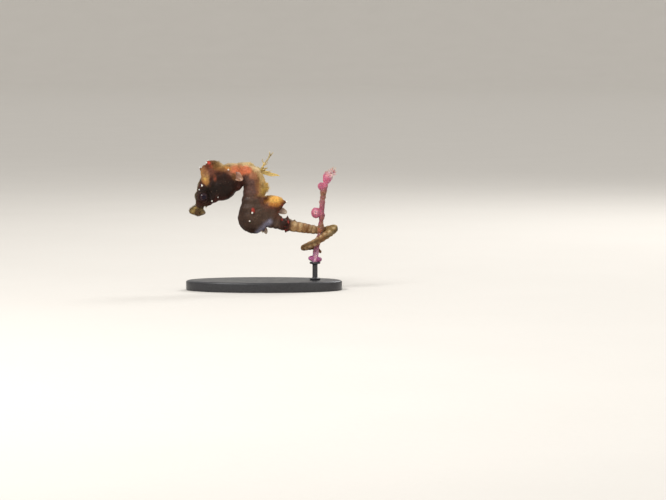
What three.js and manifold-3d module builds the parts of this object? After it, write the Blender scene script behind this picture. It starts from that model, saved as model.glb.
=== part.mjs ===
// A pygmy seahorse holding a stem of pink coralline alga with its tail, life-size, on a small display stand.
// Millimetres, +Z up, origin at the centre of the stand's underside. The animal faces -X, its left towards -Y.
// The flesh is modelled whole from lofts, ellipsoids and cones, then parted by thin cuts into named pieces.
import * as THREE from "three";
import { mergeVertices } from "three/addons/utils/BufferGeometryUtils.js";
import Module from "manifold-3d";

const wasm = await Module();
wasm.setup();

// ---- Driving dimensions ----
const CUT = 0.04; // width of the thin cuts between neighbouring pieces
const HEAD_YAW = 0.26; // the head is turned this far, in radians, towards -Y
const NECK_TOP = new THREE.Vector3(-1.05, 0, 5.85); // where the head sits on the neck
const EYE_RADIUS = 0.29;
const EYE_AT = [-2.1, 0.27, -1.14]; // in the head's own frame: forward is -X, the side is Y
const EYE_CLEARANCE = 0.02;
const FACET_TOLERANCE = 0.018; // facets that lie this close to a neighbour's plane are merged with it
const BODY_SIDES = 16; // facets round the head and trunk
const TAIL_SIDES = 12;
const TRUNK_RINGS = 11; // bony rings from the neck to the vent
const TAIL_RINGS = 28;
const RING_RELIEF = 0.035; // how far a ring stands out, as a share of the body's half size
const FIN_THICKNESS = 0.44; // as solids; the fins' webs are thinner in life
const THREAD_RADIUS = 0.11;
const STEM_RADIUS = 0.15;
const STEM_FOOT = 1.4; // height of the stem's cut lower end
const GRIP_CLEARANCE = 0.025; // between the tail's coils and the stem
const GRIP_HEIGHT = 2.95; // where the tail first passes behind the stem
const GRIP_FROM = 90; // degrees round the stem: 0 is its -X side, 90 is behind it
const GRIP_TO = 540;
const COIL_PITCH = 0.9; // how far the coil goes down in one turn
const LOOSE_LOOPS = [ // where the coil stands off the stem
  { out: 0.3, up: 0.36, at: 185, spread: 50 }, // on its +X side
  { out: 0.36, up: -0.18, at: 350, spread: 50 }, // and on its -X side
];
const TAIL_AT_GRIP = 0.21; // the tail's half thickness where the coil begins
const TAIL_AT_TIP = 0.06;
const TAIL_TAPER = 1.6; // above 1 the tail keeps its thickness for longer
const BASE_LENGTH = 7.8;
const BASE_WIDTH = 3.8;
const BASE_HEIGHT = 0.5;
const BASE_EDGE = 0.08; // the base's small chamfer
const ROD_RADIUS = 0.13;
const FLANGE_RADIUS = 0.27;
const FLANGE_HEIGHT = 0.1;

// ---- Materials ----
const finish = (color, roughness) => new THREE.MeshStandardMaterial({ color, roughness, metalness: 0 });
const brownSkin = finish(0x4d3a31, 0.5);
const darkSkin = finish(0x2b1c18, 0.45);
const tanSkin = finish(0x8c6a45, 0.6);
const goldenTail = finish(0x9a7a4e, 0.5);
const finMembrane = finish(0xc99a78, 0.4);
const dermalThread = finish(0x9c8448, 0.7);
const eyeGlass = finish(0x1c1015, 0.1);
const pinkAlga = finish(0xb8637c, 0.6);
const standBlack = finish(0x2a2a2c, 0.45);

// ---- Solids: three.js geometry in, manifold-3d joins and cuts ----
const point = (x, y, z) => new THREE.Vector3(x, y, z);

function solid(geometry, matrix = new THREE.Matrix4()) {
  const bare = new THREE.BufferGeometry();
  const source = geometry.index ? geometry.toNonIndexed() : geometry;
  bare.setAttribute("position", source.getAttribute("position").clone()).applyMatrix4(matrix);
  const merged = mergeVertices(bare, 1e-5);
  return new wasm.Manifold(
    new wasm.Mesh({
      numProp: 3,
      vertProperties: merged.attributes.position.array,
      triVerts: new Uint32Array(merged.index.array),
    }),
  );
}

const joined = (solids) => solids.reduce((whole, piece) => whole.add(piece));

function meshOf(name, manifold, material) {
  const { vertProperties, triVerts } = manifold.simplify(FACET_TOLERANCE).getMesh();
  const geometry = new THREE.BufferGeometry();
  geometry.setAttribute("position", new THREE.BufferAttribute(vertProperties, 3));
  geometry.setIndex(new THREE.BufferAttribute(triVerts, 1));
  geometry.computeVertexNormals();
  const mesh = new THREE.Mesh(geometry, material);
  mesh.name = name;
  return mesh;
}

// A closed tube through stations { at, deep, wide }: deep is its half size in the plane of the body, wide its
// half size across it. The section turns with the path and does not twist. With relief, every other step
// stands out by that share, as the body's rings do, and the section is a little square, as its ridges make it.
function loft(stations, steps, sides, relief = 0) {
  const path = new THREE.CatmullRomCurve3(stations.map((s) => s.at), false, "centripetal");
  const sizes = new THREE.CatmullRomCurve3(stations.map((s) => point(s.deep, s.wide, 0)), false, "catmullrom");
  const vertices = [];
  const faces = [];
  const side = point(0, 1, 0);
  for (let i = 0; i <= steps; i++) {
    const t = i / steps;
    const centre = path.getPoint(t);
    const along = path.getTangent(t);
    side.addScaledVector(along, -side.dot(along)).normalize();
    const out = side.clone().cross(along);
    const ring = i % 2 ? 1 + relief : 1 - relief;
    const size = sizes.getPoint(t).multiplyScalar(ring);
    for (let j = 0; j < sides; j++) {
      const turn = (2 * Math.PI * j) / sides;
      const corner = 1 + 1.5 * relief * (1 - Math.cos(4 * turn));
      const rim = centre.clone().addScaledVector(out, size.x * corner * Math.cos(turn));
      rim.addScaledVector(side, size.y * corner * Math.sin(turn));
      vertices.push(...rim.toArray());
    }
  }
  const ringAt = (i, j) => i * sides + (j % sides);
  const first = vertices.length / 3;
  vertices.push(...path.getPoint(0).toArray(), ...path.getPoint(1).toArray());
  for (let j = 0; j < sides; j++) {
    for (let i = 0; i < steps; i++) {
      faces.push(ringAt(i, j), ringAt(i, j + 1), ringAt(i + 1, j));
      faces.push(ringAt(i, j + 1), ringAt(i + 1, j + 1), ringAt(i + 1, j));
    }
    faces.push(first, ringAt(0, j + 1), ringAt(0, j));
    faces.push(first + 1, ringAt(steps, j), ringAt(steps, j + 1));
  }
  const geometry = new THREE.BufferGeometry();
  geometry.setAttribute("position", new THREE.Float32BufferAttribute(vertices, 3));
  geometry.setIndex(faces);
  return geometry;
}

// A station of a loft: a place in the body's plane, its half depth and half width, and its offset across.
const station = (x, z, deep, wide, y = 0) => ({ at: point(x, y, z), deep, wide });

function ellipsoid(x, y, z, radii, tilt = 0, sides = 16) {
  const geometry = new THREE.SphereGeometry(1, sides, Math.round(sides * 0.6));
  return geometry.scale(...radii).rotateY(tilt).translate(x, y, z);
}

// The same stations or radii, larger all round by grow.
const grownStations = (stations, grow) =>
  stations.map(({ at, deep, wide }) => ({ at, deep: deep + grow, wide: wide + grow }));
const grownRadii = (radii, grow) => radii.map((radius) => radius + grow);

// A cone with its base centre at root, sunk a little, and its point at tip.
function spine(root, tip, radius, sides = 6) {
  const along = tip.clone().sub(root);
  const geometry = new THREE.ConeGeometry(radius, along.length(), sides);
  const turn = new THREE.Quaternion().setFromUnitVectors(point(0, 1, 0), along.clone().normalize());
  const middle = root.clone().add(tip).multiplyScalar(0.5);
  return geometry.applyQuaternion(turn).translate(...middle.toArray());
}

// A plate with the outline drawn in the X-Z plane, centred on y = 0.
function plate(outline, thickness, bevel) {
  const shape = new THREE.Shape(outline.map(([x, z]) => new THREE.Vector2(x, z)));
  const geometry = new THREE.ExtrudeGeometry(shape, {
    depth: thickness - 2 * bevel,
    bevelEnabled: bevel > 0,
    bevelThickness: bevel,
    bevelSize: bevel,
    bevelOffset: -bevel,
    bevelSegments: 1,
  });
  return geometry.translate(0, 0, bevel - thickness / 2).rotateX(Math.PI / 2);
}

// A fan-shaped fin in the X-Z plane with its root at the origin, spreading round +X.
function fan(reach, rootHalf, tipHalf) {
  const points = 8;
  const edge = [];
  for (let i = 0; i <= points; i++) {
    const across = (2 * i) / points - 1;
    edge.push([reach * (1 - 0.35 * across * across), across * tipHalf]);
  }
  return plate([[0, -rootHalf], ...edge, [0, rootHalf]], FIN_THICKNESS, rootHalf / 2.5);
}

// The slab that a cut removes: centred at a point, square to a direction, reaching half its size each way.
function cutAt(at, along, half) {
  const turn = new THREE.Quaternion().setFromUnitVectors(point(0, 0, 1), along.clone().normalize());
  const geometry = new THREE.BoxGeometry(2 * half, 2 * half, CUT);
  return solid(geometry.applyQuaternion(turn).translate(...at.toArray()));
}

// ---- The head, in its own frame: origin at the top of the neck, forward -X, up +Z, symmetric about y = 0 ----
const headFrame = new THREE.Object3D();
headFrame.position.copy(NECK_TOP);
headFrame.rotation.z = HEAD_YAW;
headFrame.updateMatrixWorld(true);
const inHead = (geometry) => solid(geometry, headFrame.matrixWorld);
const headPoint = (x, y, z) => point(x, y, z).applyMatrix4(headFrame.matrixWorld);
const headDirection = (x, y, z) => point(x, y, z).transformDirection(headFrame.matrixWorld);

function skull(grow = 0) {
  const crown = [
    station(-0.05, -0.08, 0.56, 0.4),
    station(-0.5, -0.06, 0.6, 0.45),
    station(-1.0, -0.13, 0.6, 0.46),
    station(-1.5, -0.32, 0.6, 0.42),
    station(-1.87, -0.72, 0.5, 0.4),
    station(-2.1, -1.15, 0.37, 0.34),
    station(-2.22, -1.5, 0.27, 0.25),
  ];
  const gillCover = ellipsoid(-1.04, 0, -0.68, grownRadii([0.8, 0.55, 0.7], grow), -0.45);
  const throat = ellipsoid(-1.55, 0, -1.08, grownRadii([0.55, 0.4, 0.4], grow), -0.5);
  const forehead = ellipsoid(-1.9, 0, 0.02, grownRadii([0.32, 0.2, 0.42], grow), 0.06, 10);
  const jaw = ellipsoid(-1.82, 0, -1.3, grownRadii([0.28, 0.24, 0.36], grow), -0.3, 10);
  const gillEdge = ellipsoid(-0.29, 0, -0.67, grownRadii([0.24, 0.3, 0.24], grow), 0, 10);
  const rings = loft(grownStations(crown, grow), 15, BODY_SIDES);
  return joined([rings, gillCover, gillEdge, throat, forehead, jaw].map((geometry) => inHead(geometry)));
}

// The muzzle, with the two tufts of fuzz that hide its mouth.
function snout() {
  const tube = [
    station(-2.12, -1.25, 0.29, 0.25),
    station(-2.2, -1.55, 0.27, 0.23),
    station(-2.27, -1.78, 0.23, 0.2),
    station(-2.33, -1.92, 0.235, 0.21),
    station(-2.38, -2.02, 0.2, 0.19),
    station(-2.41, -2.09, 0.11, 0.1),
  ];
  const tufts = [
    ellipsoid(-2.49, 0, -1.84, [0.26, 0.24, 0.27], -0.3, 10),
    ellipsoid(-2.07, 0, -1.93, [0.17, 0.16, 0.18], 0.3, 8),
  ];
  return joined([loft(tube, 12, TAIL_SIDES), ...tufts].map((g) => inHead(g)));
}

// The low crest on the crown, and its points.
function coronet() {
  const crest = [
    station(-1.3, 0.0, 0.56, 0.3),
    station(-1.47, 0.26, 0.5, 0.27),
    station(-1.6, 0.42, 0.36, 0.22),
    station(-1.72, 0.53, 0.23, 0.18),
    station(-1.78, 0.6, 0.11, 0.1),
  ];
  const points = [
    spine(point(-1.72, 0, 0.42), point(-1.92, 0, 0.72), 0.1),
    spine(point(-1.86, 0, 0.25), point(-2.15, 0, 0.4), 0.1),
    spine(point(-1.3, 0, 0.42), point(-1.22, 0, 0.6), 0.09),
  ];
  for (const side of [-1, 1]) {
    points.push(spine(point(-1.6, 0.1 * side, 0.38), point(-1.66, 0.3 * side, 0.62), 0.09));
  }
  return joined([loft(crest, 8, TAIL_SIDES), ...points].map(inHead));
}

function headSpines() {
  const both = [];
  for (const side of [-1, 1]) {
    both.push(spine(point(-2.1, 0.25 * side, -0.8), point(-2.34, 0.5 * side, -0.62), 0.1)); // over the eye
    both.push(spine(point(-1.68, 0.26 * side, -1.3), point(-1.66, 0.52 * side, -1.5), 0.08)); // cheek
    both.push(spine(point(-0.8, 0.3 * side, 0.08), point(-0.84, 0.52 * side, 0.3), 0.08)); // over the gill
  }
  const chin = spine(point(-1.85, 0, -1.5), point(-1.9, 0, -1.82), 0.08);
  return joined([...both, chin].map(inHead));
}

function eyeSockets() {
  const [x, y, z] = EYE_AT;
  const ball = (side) => ellipsoid(x, side * y, z, Array(3).fill(EYE_RADIUS + EYE_CLEARANCE));
  return joined([ball(-1), ball(1)].map(inHead));
}

// ---- Neck and trunk, in the plane y = 0 ----
function neckAndTrunk(grow = 0) {
  const column = [
    station(-1.35, 5.78, 0.56, 0.42),
    station(-0.92, 5.84, 0.57, 0.42),
    station(-0.5, 5.6, 0.55, 0.43),
    station(-0.45, 5.1, 0.57, 0.44),
    station(-0.5, 4.55, 0.6, 0.48),
    station(-0.5, 4.05, 0.72, 0.55),
    station(-0.35, 3.75, 0.8, 0.58),
    station(0.15, 3.68, 0.66, 0.5),
    station(0.58, 3.44, 0.4, 0.36),
    station(0.89, 3.31, 0.31, 0.31),
    station(1.05, 3.29, 0.18, 0.18),
  ];
  const belly = ellipsoid(-0.52, 0, 3.63, grownRadii([0.83, 0.62, 0.85], grow), 0, 14);
  const hump = ellipsoid(0.4, 0, 4.2, grownRadii([0.66, 0.4, 0.46], grow), -0.42, 14);
  const humpRidge = ellipsoid(0.51, 0, 4.48, grownRadii([0.6, 0.3, 0.29], grow), 0.2, 14);
  const nape = ellipsoid(-0.12, 0, 5.08, grownRadii([0.38, 0.3, 0.38], grow), 0, 10);
  const rings = loft(grownStations(column, grow), 2 * TRUNK_RINGS + 5, BODY_SIDES, RING_RELIEF);
  return joined([rings, belly, hump, humpRidge, nape].map((geometry) => solid(geometry)));
}

function trunkSpines() {
  const cones = [
    spine(point(0.9, 0, 4.36), point(1.2, 0, 4.44), 0.09), // rear of the hump
    spine(point(0.06, 0, 5.28), point(0.23, 0, 5.37), 0.08), // back of the neck
    spine(point(-0.05, 0, 2.98), point(-0.06, 0, 2.84), 0.07), // belly, ahead of the vent
    spine(point(1.17, 0, 3.48), point(1.18, 0, 3.72), 0.09), // first tail ring, above
    spine(point(1.12, 0, 3.02), point(1.06, 0, 2.86), 0.08), // first tail ring, below
  ];
  for (const side of [-1, 1]) {
    cones.push(spine(point(-0.56, 0.42 * side, 3.95), point(-0.58, 0.78 * side, 3.98), 0.1)); // flank
    cones.push(spine(point(-0.04, 0.26 * side, 4.52), point(0.18, 0.48 * side, 4.88), 0.1)); // hump's front
    cones.push(spine(point(0.6, 0.25 * side, 4.2), point(0.66, 0.52 * side, 4.38), 0.08)); // hump's side
    cones.push(spine(point(1.12, 0.2 * side, 3.3), point(1.16, 0.42 * side, 3.36), 0.07)); // first tail ring
  }
  return joined(cones.map((g) => solid(g)));
}

// ---- The stem that the tail holds ----
const stemLine = new THREE.CatmullRomCurve3([
  point(2.55, 0, STEM_FOOT),
  point(2.63, 0, 2.1),
  point(2.84, 0, 3.1),
  point(2.92, 0, 4.4),
  point(3.05, 0, 5.2),
  point(3.42, 0, 6.05),
]);

function stemAt(height) {
  let low = 0;
  let high = 1;
  for (let i = 0; i < 30; i++) {
    const middle = (low + high) / 2;
    if (stemLine.getPoint(middle).z < height) low = middle;
    else high = middle;
  }
  return stemLine.getPoint(low);
}

function perch() {
  const joints = 12;
  const stations = [];
  for (let i = 0; i <= joints; i++) {
    const pinch = i % 2 ? 1 : 0.86;
    const at = stemLine.getPoint(i / joints);
    const flare = at.z > 5.3 ? 1.25 : 1;
    stations.push({ at, deep: STEM_RADIUS * pinch * flare, wide: STEM_RADIUS * pinch * flare });
  }
  const buds = [
    ellipsoid(2.6, -0.06, 3.86, [0.25, 0.24, 0.27], 0.3, 12), // the large bud below the top of the coil
    ellipsoid(2.86, -0.05, 5.2, [0.17, 0.17, 0.2], 0.4, 10),
    ellipsoid(3.2, 0, 5.66, [0.25, 0.23, 0.36], 0.45, 12), // the swollen tip
    ellipsoid(2.36, 0.0, 1.58, [0.18, 0.16, 0.15], 0, 8),
    ellipsoid(2.74, -0.05, 1.53, [0.16, 0.16, 0.13], 0, 8),
  ];
  for (const [lean, across] of [[-0.02, 0.08], [0.16, -0.08], [0.28, 0.06]]) {
    buds.push(spine(point(3.3, 0, 5.8), point(3.34 + lean, across, 6.18 - lean / 3), 0.09, 7));
  }
  return joined([loft(stations, 2 * joints, 10), ...buds].map((g) => solid(g)));
}

// ---- The tail: out to the stem, behind it, and round it ----
const gripShare = (degrees) => (degrees - GRIP_FROM) / (GRIP_TO - GRIP_FROM);
const tailRadius = (degrees) =>
  THREE.MathUtils.lerp(TAIL_AT_GRIP, TAIL_AT_TIP, gripShare(degrees) ** TAIL_TAPER);

function onCoil(degrees) {
  let height = GRIP_HEIGHT - (COIL_PITCH * (degrees - GRIP_FROM)) / 360;
  let reach = STEM_RADIUS + GRIP_CLEARANCE + tailRadius(degrees);
  for (const { out, up, at, spread } of LOOSE_LOOPS) {
    const loose = Math.exp(-(((degrees - at) / spread) ** 2));
    height += up * loose;
    reach += out * loose;
  }
  const axis = stemAt(height);
  const turn = THREE.MathUtils.degToRad(degrees);
  return point(axis.x - reach * Math.cos(turn), reach * Math.sin(turn), height);
}

const tailRun = [
  station(0.75, 3.41, 0.25, 0.25),
  station(0.95, 3.3, 0.325, 0.31),
  station(1.3, 3.24, 0.305, 0.29),
  station(1.55, 3.17, 0.285, 0.275, 0.02),
  station(1.95, 3.1, 0.27, 0.26, 0.14),
  station(2.35, 3.02, 0.24, 0.235, 0.32),
];
const coilStep = 30;
const tailStations = [...tailRun];
for (let degrees = GRIP_FROM; degrees <= GRIP_TO; degrees += coilStep) {
  const radius = tailRadius(degrees);
  tailStations.push({ at: onCoil(degrees), deep: radius, wide: radius });
}
const tail = () => solid(loft(tailStations, 2 * TAIL_RINGS + 5, TAIL_SIDES, RING_RELIEF));

// ---- Fins and skin growths, each fitted to the body with a thin gap ----
const grownBody = joined([skull(CUT), neckAndTrunk(CUT)]);
const fitted = (growth) => growth.subtract(grownBody);

function placed(geometry, at, yaw, pitch) {
  return geometry.rotateY(-pitch).rotateZ(yaw).translate(...at.toArray());
}

const pectoralRoot = (side) => point(-0.52, 0.34 * side, -0.1); // in the head's frame
const pectoralFin = (side) => inHead(placed(fan(0.62, 0.16, 0.26), pectoralRoot(side), 0.6 * side, -0.2));
const dorsalFin = () => solid(placed(fan(0.44, 0.2, 0.19), point(0.78, 0, 4.02), 0, -0.35));
const analFin = () => solid(placed(fan(0.38, 0.1, 0.14), point(0.02, 0, 3.14), 0, -1.25));

// Round threads along lines of points, each a little thinner towards its end.
function threads(lines) {
  const tubes = lines.map((line) => {
    const stations = line.map((at, i) => {
      const size = THREAD_RADIUS * (1 - (0.4 * i) / (line.length - 1));
      return { at, deep: size, wide: size };
    });
    return loft(stations, 3 * line.length - 3, 7);
  });
  return joined(tubes.map((geometry) => solid(geometry)));
}

function napeThread() {
  const bend = point(0.02, 0, 6.3);
  const fork = point(0.2, -0.02, 6.55);
  return threads([
    [point(-0.24, 0, 5.95), bend, fork, point(0.3, -0.04, 6.8), point(0.27, -0.02, 6.94)],
    [fork, point(0.36, 0.04, 6.76), point(0.47, 0.06, 6.88)],
    [bend, point(-0.08, 0.06, 6.46), point(-0.06, 0.1, 6.56)],
  ]);
}

// Two leaf-shaped flaps of skin that point backwards from the nape.
function napeFlap() {
  const leaf = (length, half) => {
    const outline = [];
    for (let i = 0; i < 12; i++) {
      const turn = (-2 * Math.PI * i) / 12;
      outline.push([(length / 2) * (1 - Math.cos(turn)), half * Math.sin(turn) * (1 - 0.3 * Math.cos(turn))]);
    }
    return plate(outline, 0.2, 0.03);
  };
  const root = point(-0.14, 0, 5.88);
  const long = placed(leaf(1.0, 0.12), root, -0.08, -0.1);
  const short = placed(leaf(0.75, 0.11), root, 0.1, 0.22);
  return joined([solid(long), solid(short)]);
}

// ---- Joining the flesh, cutting it into pieces, and naming them ----
const flesh = joined([skull(), snout(), coronet(), headSpines(), neckAndTrunk(), trunkSpines(), tail()]);

const alongCoil = (degrees) => onCoil(degrees + 1).sub(onCoil(degrees - 1));
const coilCut = (degrees) => cutAt(onCoil(degrees), alongCoil(degrees), tailRadius(degrees) + 0.06);

const cuts = [
  cutAt(headPoint(-0.08, 0, -0.1), headDirection(-1, 0, 0.12), 0.84), // head from neck
  cutAt(headPoint(-2.2, 0, -1.6), headDirection(-0.3, 0, -1), 0.5), // snout from head
  cutAt(headPoint(-1.52, 0, 0.4), headDirection(-0.45, 0, 1), 0.78), // coronet from head
  cutAt(point(-0.45, 0, 4.96), point(0, 0, 1), 0.7), // neck from trunk
  cutAt(point(0.94, 0, 3.34), point(1, 0, -0.2), 0.42), // trunk from tail
  cutAt(point(1.95, 0.14, 3.1), point(1, 0.35, -0.18), 0.35), // tail's base from its middle
  coilCut(110),
  coilCut(265),
  coilCut(430),
];

const pieces = flesh.subtract(joined([...cuts, eyeSockets()])).decompose();

// Each piece is known by a point inside it.
function pieceAround(at) {
  const probe = solid(new THREE.SphereGeometry(0.02, 6, 4).translate(...at.toArray()));
  const found = pieces.filter((piece) => piece.intersect(probe).volume() > 0);
  if (found.length !== 1) throw new Error(`${found.length} pieces hold ${at.toArray()}`);
  return found[0];
}

const fleshNodes = [
  ["head", pieceAround(headPoint(-1.2, 0, -0.5)), darkSkin],
  ["coronet", pieceAround(headPoint(-1.68, 0, 0.5)), darkSkin],
  ["snout", pieceAround(headPoint(-2.32, 0, -1.85)), tanSkin],
  ["neck", pieceAround(point(-0.45, 0, 5.3)), brownSkin],
  ["trunk", pieceAround(point(-0.5, 0, 3.8)), brownSkin],
  ["tail_base", pieceAround(point(1.45, 0, 3.2)), goldenTail],
  ["tail_middle", pieceAround(point(2.35, 0.32, 3.02)), goldenTail],
  ["tail_coil_upper", pieceAround(onCoil(190)), goldenTail],
  ["tail_coil_lower", pieceAround(onCoil(350)), goldenTail],
  ["tail_tip", pieceAround(onCoil(490)), goldenTail],
  ["pectoral_fin_left", fitted(pectoralFin(-1)), finMembrane],
  ["pectoral_fin_right", fitted(pectoralFin(1)), finMembrane],
  ["dorsal_fin", fitted(dorsalFin()), finMembrane],
  ["anal_fin", fitted(analFin()), finMembrane],
  ["nape_thread", fitted(napeThread()), dermalThread],
  ["nape_flap", fitted(napeFlap()), dermalThread],
];

// ---- The stand ----
function standBase() {
  const outline = new THREE.Shape();
  outline.absellipse(0, 0, BASE_LENGTH / 2 - BASE_EDGE, BASE_WIDTH / 2 - BASE_EDGE, 0, 2 * Math.PI);
  const geometry = new THREE.ExtrudeGeometry(outline, {
    depth: BASE_HEIGHT - 2 * BASE_EDGE,
    curveSegments: 16,
    bevelThickness: BASE_EDGE,
    bevelSize: BASE_EDGE,
    bevelSegments: 2,
  });
  return geometry.translate(0, 0, BASE_EDGE);
}

function standRod() {
  const top = STEM_FOOT - BASE_HEIGHT - 2 * CUT;
  const profile = [
    [0, 0],
    [FLANGE_RADIUS, 0],
    [FLANGE_RADIUS, FLANGE_HEIGHT],
    [ROD_RADIUS, FLANGE_HEIGHT * 1.6],
    [ROD_RADIUS, top - FLANGE_HEIGHT * 1.6],
    [FLANGE_RADIUS, top - FLANGE_HEIGHT],
    [FLANGE_RADIUS, top],
    [0, top],
  ];
  const lathe = new THREE.LatheGeometry(profile.map(([r, h]) => new THREE.Vector2(r, h)), 16);
  return lathe.rotateX(Math.PI / 2);
}

// ---- The scene graph ----
const seahorse = new THREE.Group();
for (const [name, piece, material] of fleshNodes) {
  seahorse.add(meshOf(name, piece, material));
}

const headGroup = new THREE.Group();
headGroup.position.copy(headFrame.position);
headGroup.rotation.copy(headFrame.rotation);
for (const [name, side] of [["eye_left", -1], ["eye_right", 1]]) {
  const eye = new THREE.Mesh(new THREE.SphereGeometry(EYE_RADIUS, 14, 8), eyeGlass);
  eye.name = name;
  eye.position.set(EYE_AT[0], side * EYE_AT[1], EYE_AT[2]);
  headGroup.add(eye);
}
seahorse.add(headGroup);

seahorse.add(meshOf("perch", perch(), pinkAlga));

const base = new THREE.Mesh(standBase(), standBlack);
base.name = "stand_base";
seahorse.add(base);

const rod = new THREE.Mesh(standRod(), standBlack);
rod.name = "stand_rod";
rod.position.set(2.55, 0, BASE_HEIGHT + CUT);
seahorse.add(rod);

export default seahorse;
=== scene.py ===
"""The looks of a life-size pygmy seahorse that holds an alga stem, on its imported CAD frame.

Lengths are in millimetres in the row's own frame (+Z up, the animal faces -X, its left side is towards -Y),
and are turned into metres when a mesh is made. One skin is grown as a distance field from the CAD's flesh:
the cuts between the solids are closed and smoothed, then rings, ridges, spines, folds and lids are added.
Eyes, fins, filaments, fuzz, the alga stem and the stand are pieces of their own.
"""

import math
from typing import NamedTuple

import bpy
import numpy as np
import openvdb
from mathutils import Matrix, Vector


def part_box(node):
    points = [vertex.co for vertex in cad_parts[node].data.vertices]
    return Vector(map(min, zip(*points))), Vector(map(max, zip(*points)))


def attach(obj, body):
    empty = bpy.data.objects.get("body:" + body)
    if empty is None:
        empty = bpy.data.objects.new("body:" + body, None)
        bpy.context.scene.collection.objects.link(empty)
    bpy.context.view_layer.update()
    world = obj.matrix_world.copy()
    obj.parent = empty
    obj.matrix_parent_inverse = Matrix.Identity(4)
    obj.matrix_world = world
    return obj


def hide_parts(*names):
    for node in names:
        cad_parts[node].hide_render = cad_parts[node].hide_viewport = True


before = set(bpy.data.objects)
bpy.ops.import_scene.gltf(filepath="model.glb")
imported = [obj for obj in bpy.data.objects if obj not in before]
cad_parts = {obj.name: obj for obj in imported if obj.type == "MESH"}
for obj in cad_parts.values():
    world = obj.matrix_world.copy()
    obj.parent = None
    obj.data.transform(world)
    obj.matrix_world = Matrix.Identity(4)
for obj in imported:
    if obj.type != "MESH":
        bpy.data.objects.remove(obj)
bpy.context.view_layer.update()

MM = 0.001
SEED = 7

# ---- What the pieces stand for ----
FLESH = ["head", "coronet", "snout", "neck", "trunk", "tail_base", "tail_middle"]
FLESH += ["tail_coil_upper", "tail_coil_lower", "tail_tip"]

# ---- The skin's distance field ----
VOXEL = 0.02
CUT_CLOSING = 0.03  # bridges the cuts between the solids
SMOOTHING = 2.4  # voxels
NARROW_BAND, WIDE_BAND = 4.0, 9.0  # voxels to each side of the surface that the level sets hold
SKIN_INSET = 0.012  # how far the skin lies inside the solids
BAND = 0.1  # how near the surface its relief is worked out
SPINE_TIP = 0.018  # radius
SPINE_FILLET = 0.08
KNOB_FILLET = 0.06
LID_EDGE = 0.025  # how round the rim of the eye's opening is

# ---- The body's line, from the snout's tip to the tail's tip ----
HEAD_ORIGIN = np.array([-1.05, 0.0, 5.85])  # the top of the neck
HEAD_YAW = 0.26
HEAD_LINE = [(-2.44, -2.14), (-2.3, -1.75), (-2.12, -1.2), (-1.75, -0.68), (-1.2, -0.36), (-0.6, -0.14)]
TRUNK_LINE = [(-0.95, 5.82), (-0.5, 5.55), (-0.42, 5.1), (-0.5, 4.55), (-0.5, 4.05), (-0.3, 3.72)]
TRUNK_LINE += [(0.15, 3.62), (0.6, 3.5), (0.95, 3.33), (1.3, 3.24)]
TAIL_LINE = [(1.55, 0.02, 3.17), (1.95, 0.14, 3.1), (2.35, 0.32, 3.02)]
STEM_LINE = [(2.55, 1.4), (2.63, 2.1), (2.84, 3.1), (2.92, 4.4), (3.05, 5.2), (3.42, 6.05)]
STEM_RADIUS = 0.15
GRIP_CLEARANCE = 0.025
GRIP_HEIGHT = 2.95
GRIP_FROM, GRIP_TO = 90, 540  # degrees round the stem, 0 at its -X side and 90 behind it
COIL_PITCH = 0.9
LOOSE_LOOPS = [(0.3, 0.36, 185), (0.36, -0.18, 350)]  # how far out and up the coil stands, and where
LOOSE_SPREAD = 50
TAIL_AT_GRIP, TAIL_AT_TIP, TAIL_TAPER = 0.21, 0.06, 1.6
TRUNK_RINGS = 11
TAIL_RINGS = 28
TAIL_SHORTENING = 0.16  # how fast the tail's rings grow shorter; at 0 they are all as long


# ---- Small helpers ----
def smoothstep(low, high, value):
    t = np.clip((value - low) / (high - low), 0.0, 1.0)
    return t * t * (3.0 - 2.0 * t)


def bell(value, centre, spread):
    """1 at the centre, falling to about a third one spread away."""
    return np.exp(-(((value - centre) / spread) ** 2))


def unit(vectors):
    return vectors / np.maximum(np.linalg.norm(vectors, axis=-1, keepdims=True), 1e-9)


def turns(count):
    """Evenly spaced angles once round."""
    return np.arange(count) * 2 * math.pi / count


def distance_to(place, points):
    return np.linalg.norm(points - np.asarray(place), axis=1)


def filled(colour, points):
    """One colour at every point."""
    return np.tile(colour, (len(points), 1)).astype(float)


def stacked(parts):
    """Joins pairs of points and faces into one pair."""
    points, faces, count = [], [], 0
    for part_points, part_faces in parts:
        points.append(part_points)
        faces.append(part_faces + count)
        count += len(part_points)
    return np.vstack(points), np.vstack(faces)


def spline(points, per_span):
    """A Catmull-Rom curve through the points, with per_span samples for each span."""
    points = np.asarray(points, float)
    padded = np.vstack([2 * points[0] - points[1], points, 2 * points[-1] - points[-2]])
    samples = []
    for i in range(1, len(padded) - 2):
        a, b, c, d = padded[i - 1 : i + 3]
        for t in np.arange(per_span) / per_span:
            turn = (2 * a - 5 * b + 4 * c - d) * t**2 + (3 * b - a - 3 * c + d) * t**3
            samples.append(0.5 * (2 * b + (c - a) * t + turn))
    samples.append(padded[-2])
    return np.array(samples)


class Noise:
    """Smooth value noise in -1..1, the same at each run."""

    SIZE = 32

    def __init__(self, seed):
        rng = np.random.default_rng(seed)
        self.lattice = rng.uniform(-1, 1, (self.SIZE,) * 3).astype(np.float32)

    def __call__(self, points, wavelength):
        q = points / wavelength + 100.0
        cell = np.floor(q).astype(np.int64)
        f = (q - cell).astype(np.float32)
        f = f * f * (3 - 2 * f)
        total = np.zeros(len(points), np.float32)
        for corner in range(8):
            step = np.array([corner >> 2 & 1, corner >> 1 & 1, corner & 1])
            i, j, k = ((cell + step) % self.SIZE).T
            weight = np.prod(np.where(step, f, 1 - f), axis=1)
            total += weight * self.lattice[i, j, k]
        return total


noise_a, noise_b, noise_c = Noise(1), Noise(2), Noise(3)


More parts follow.
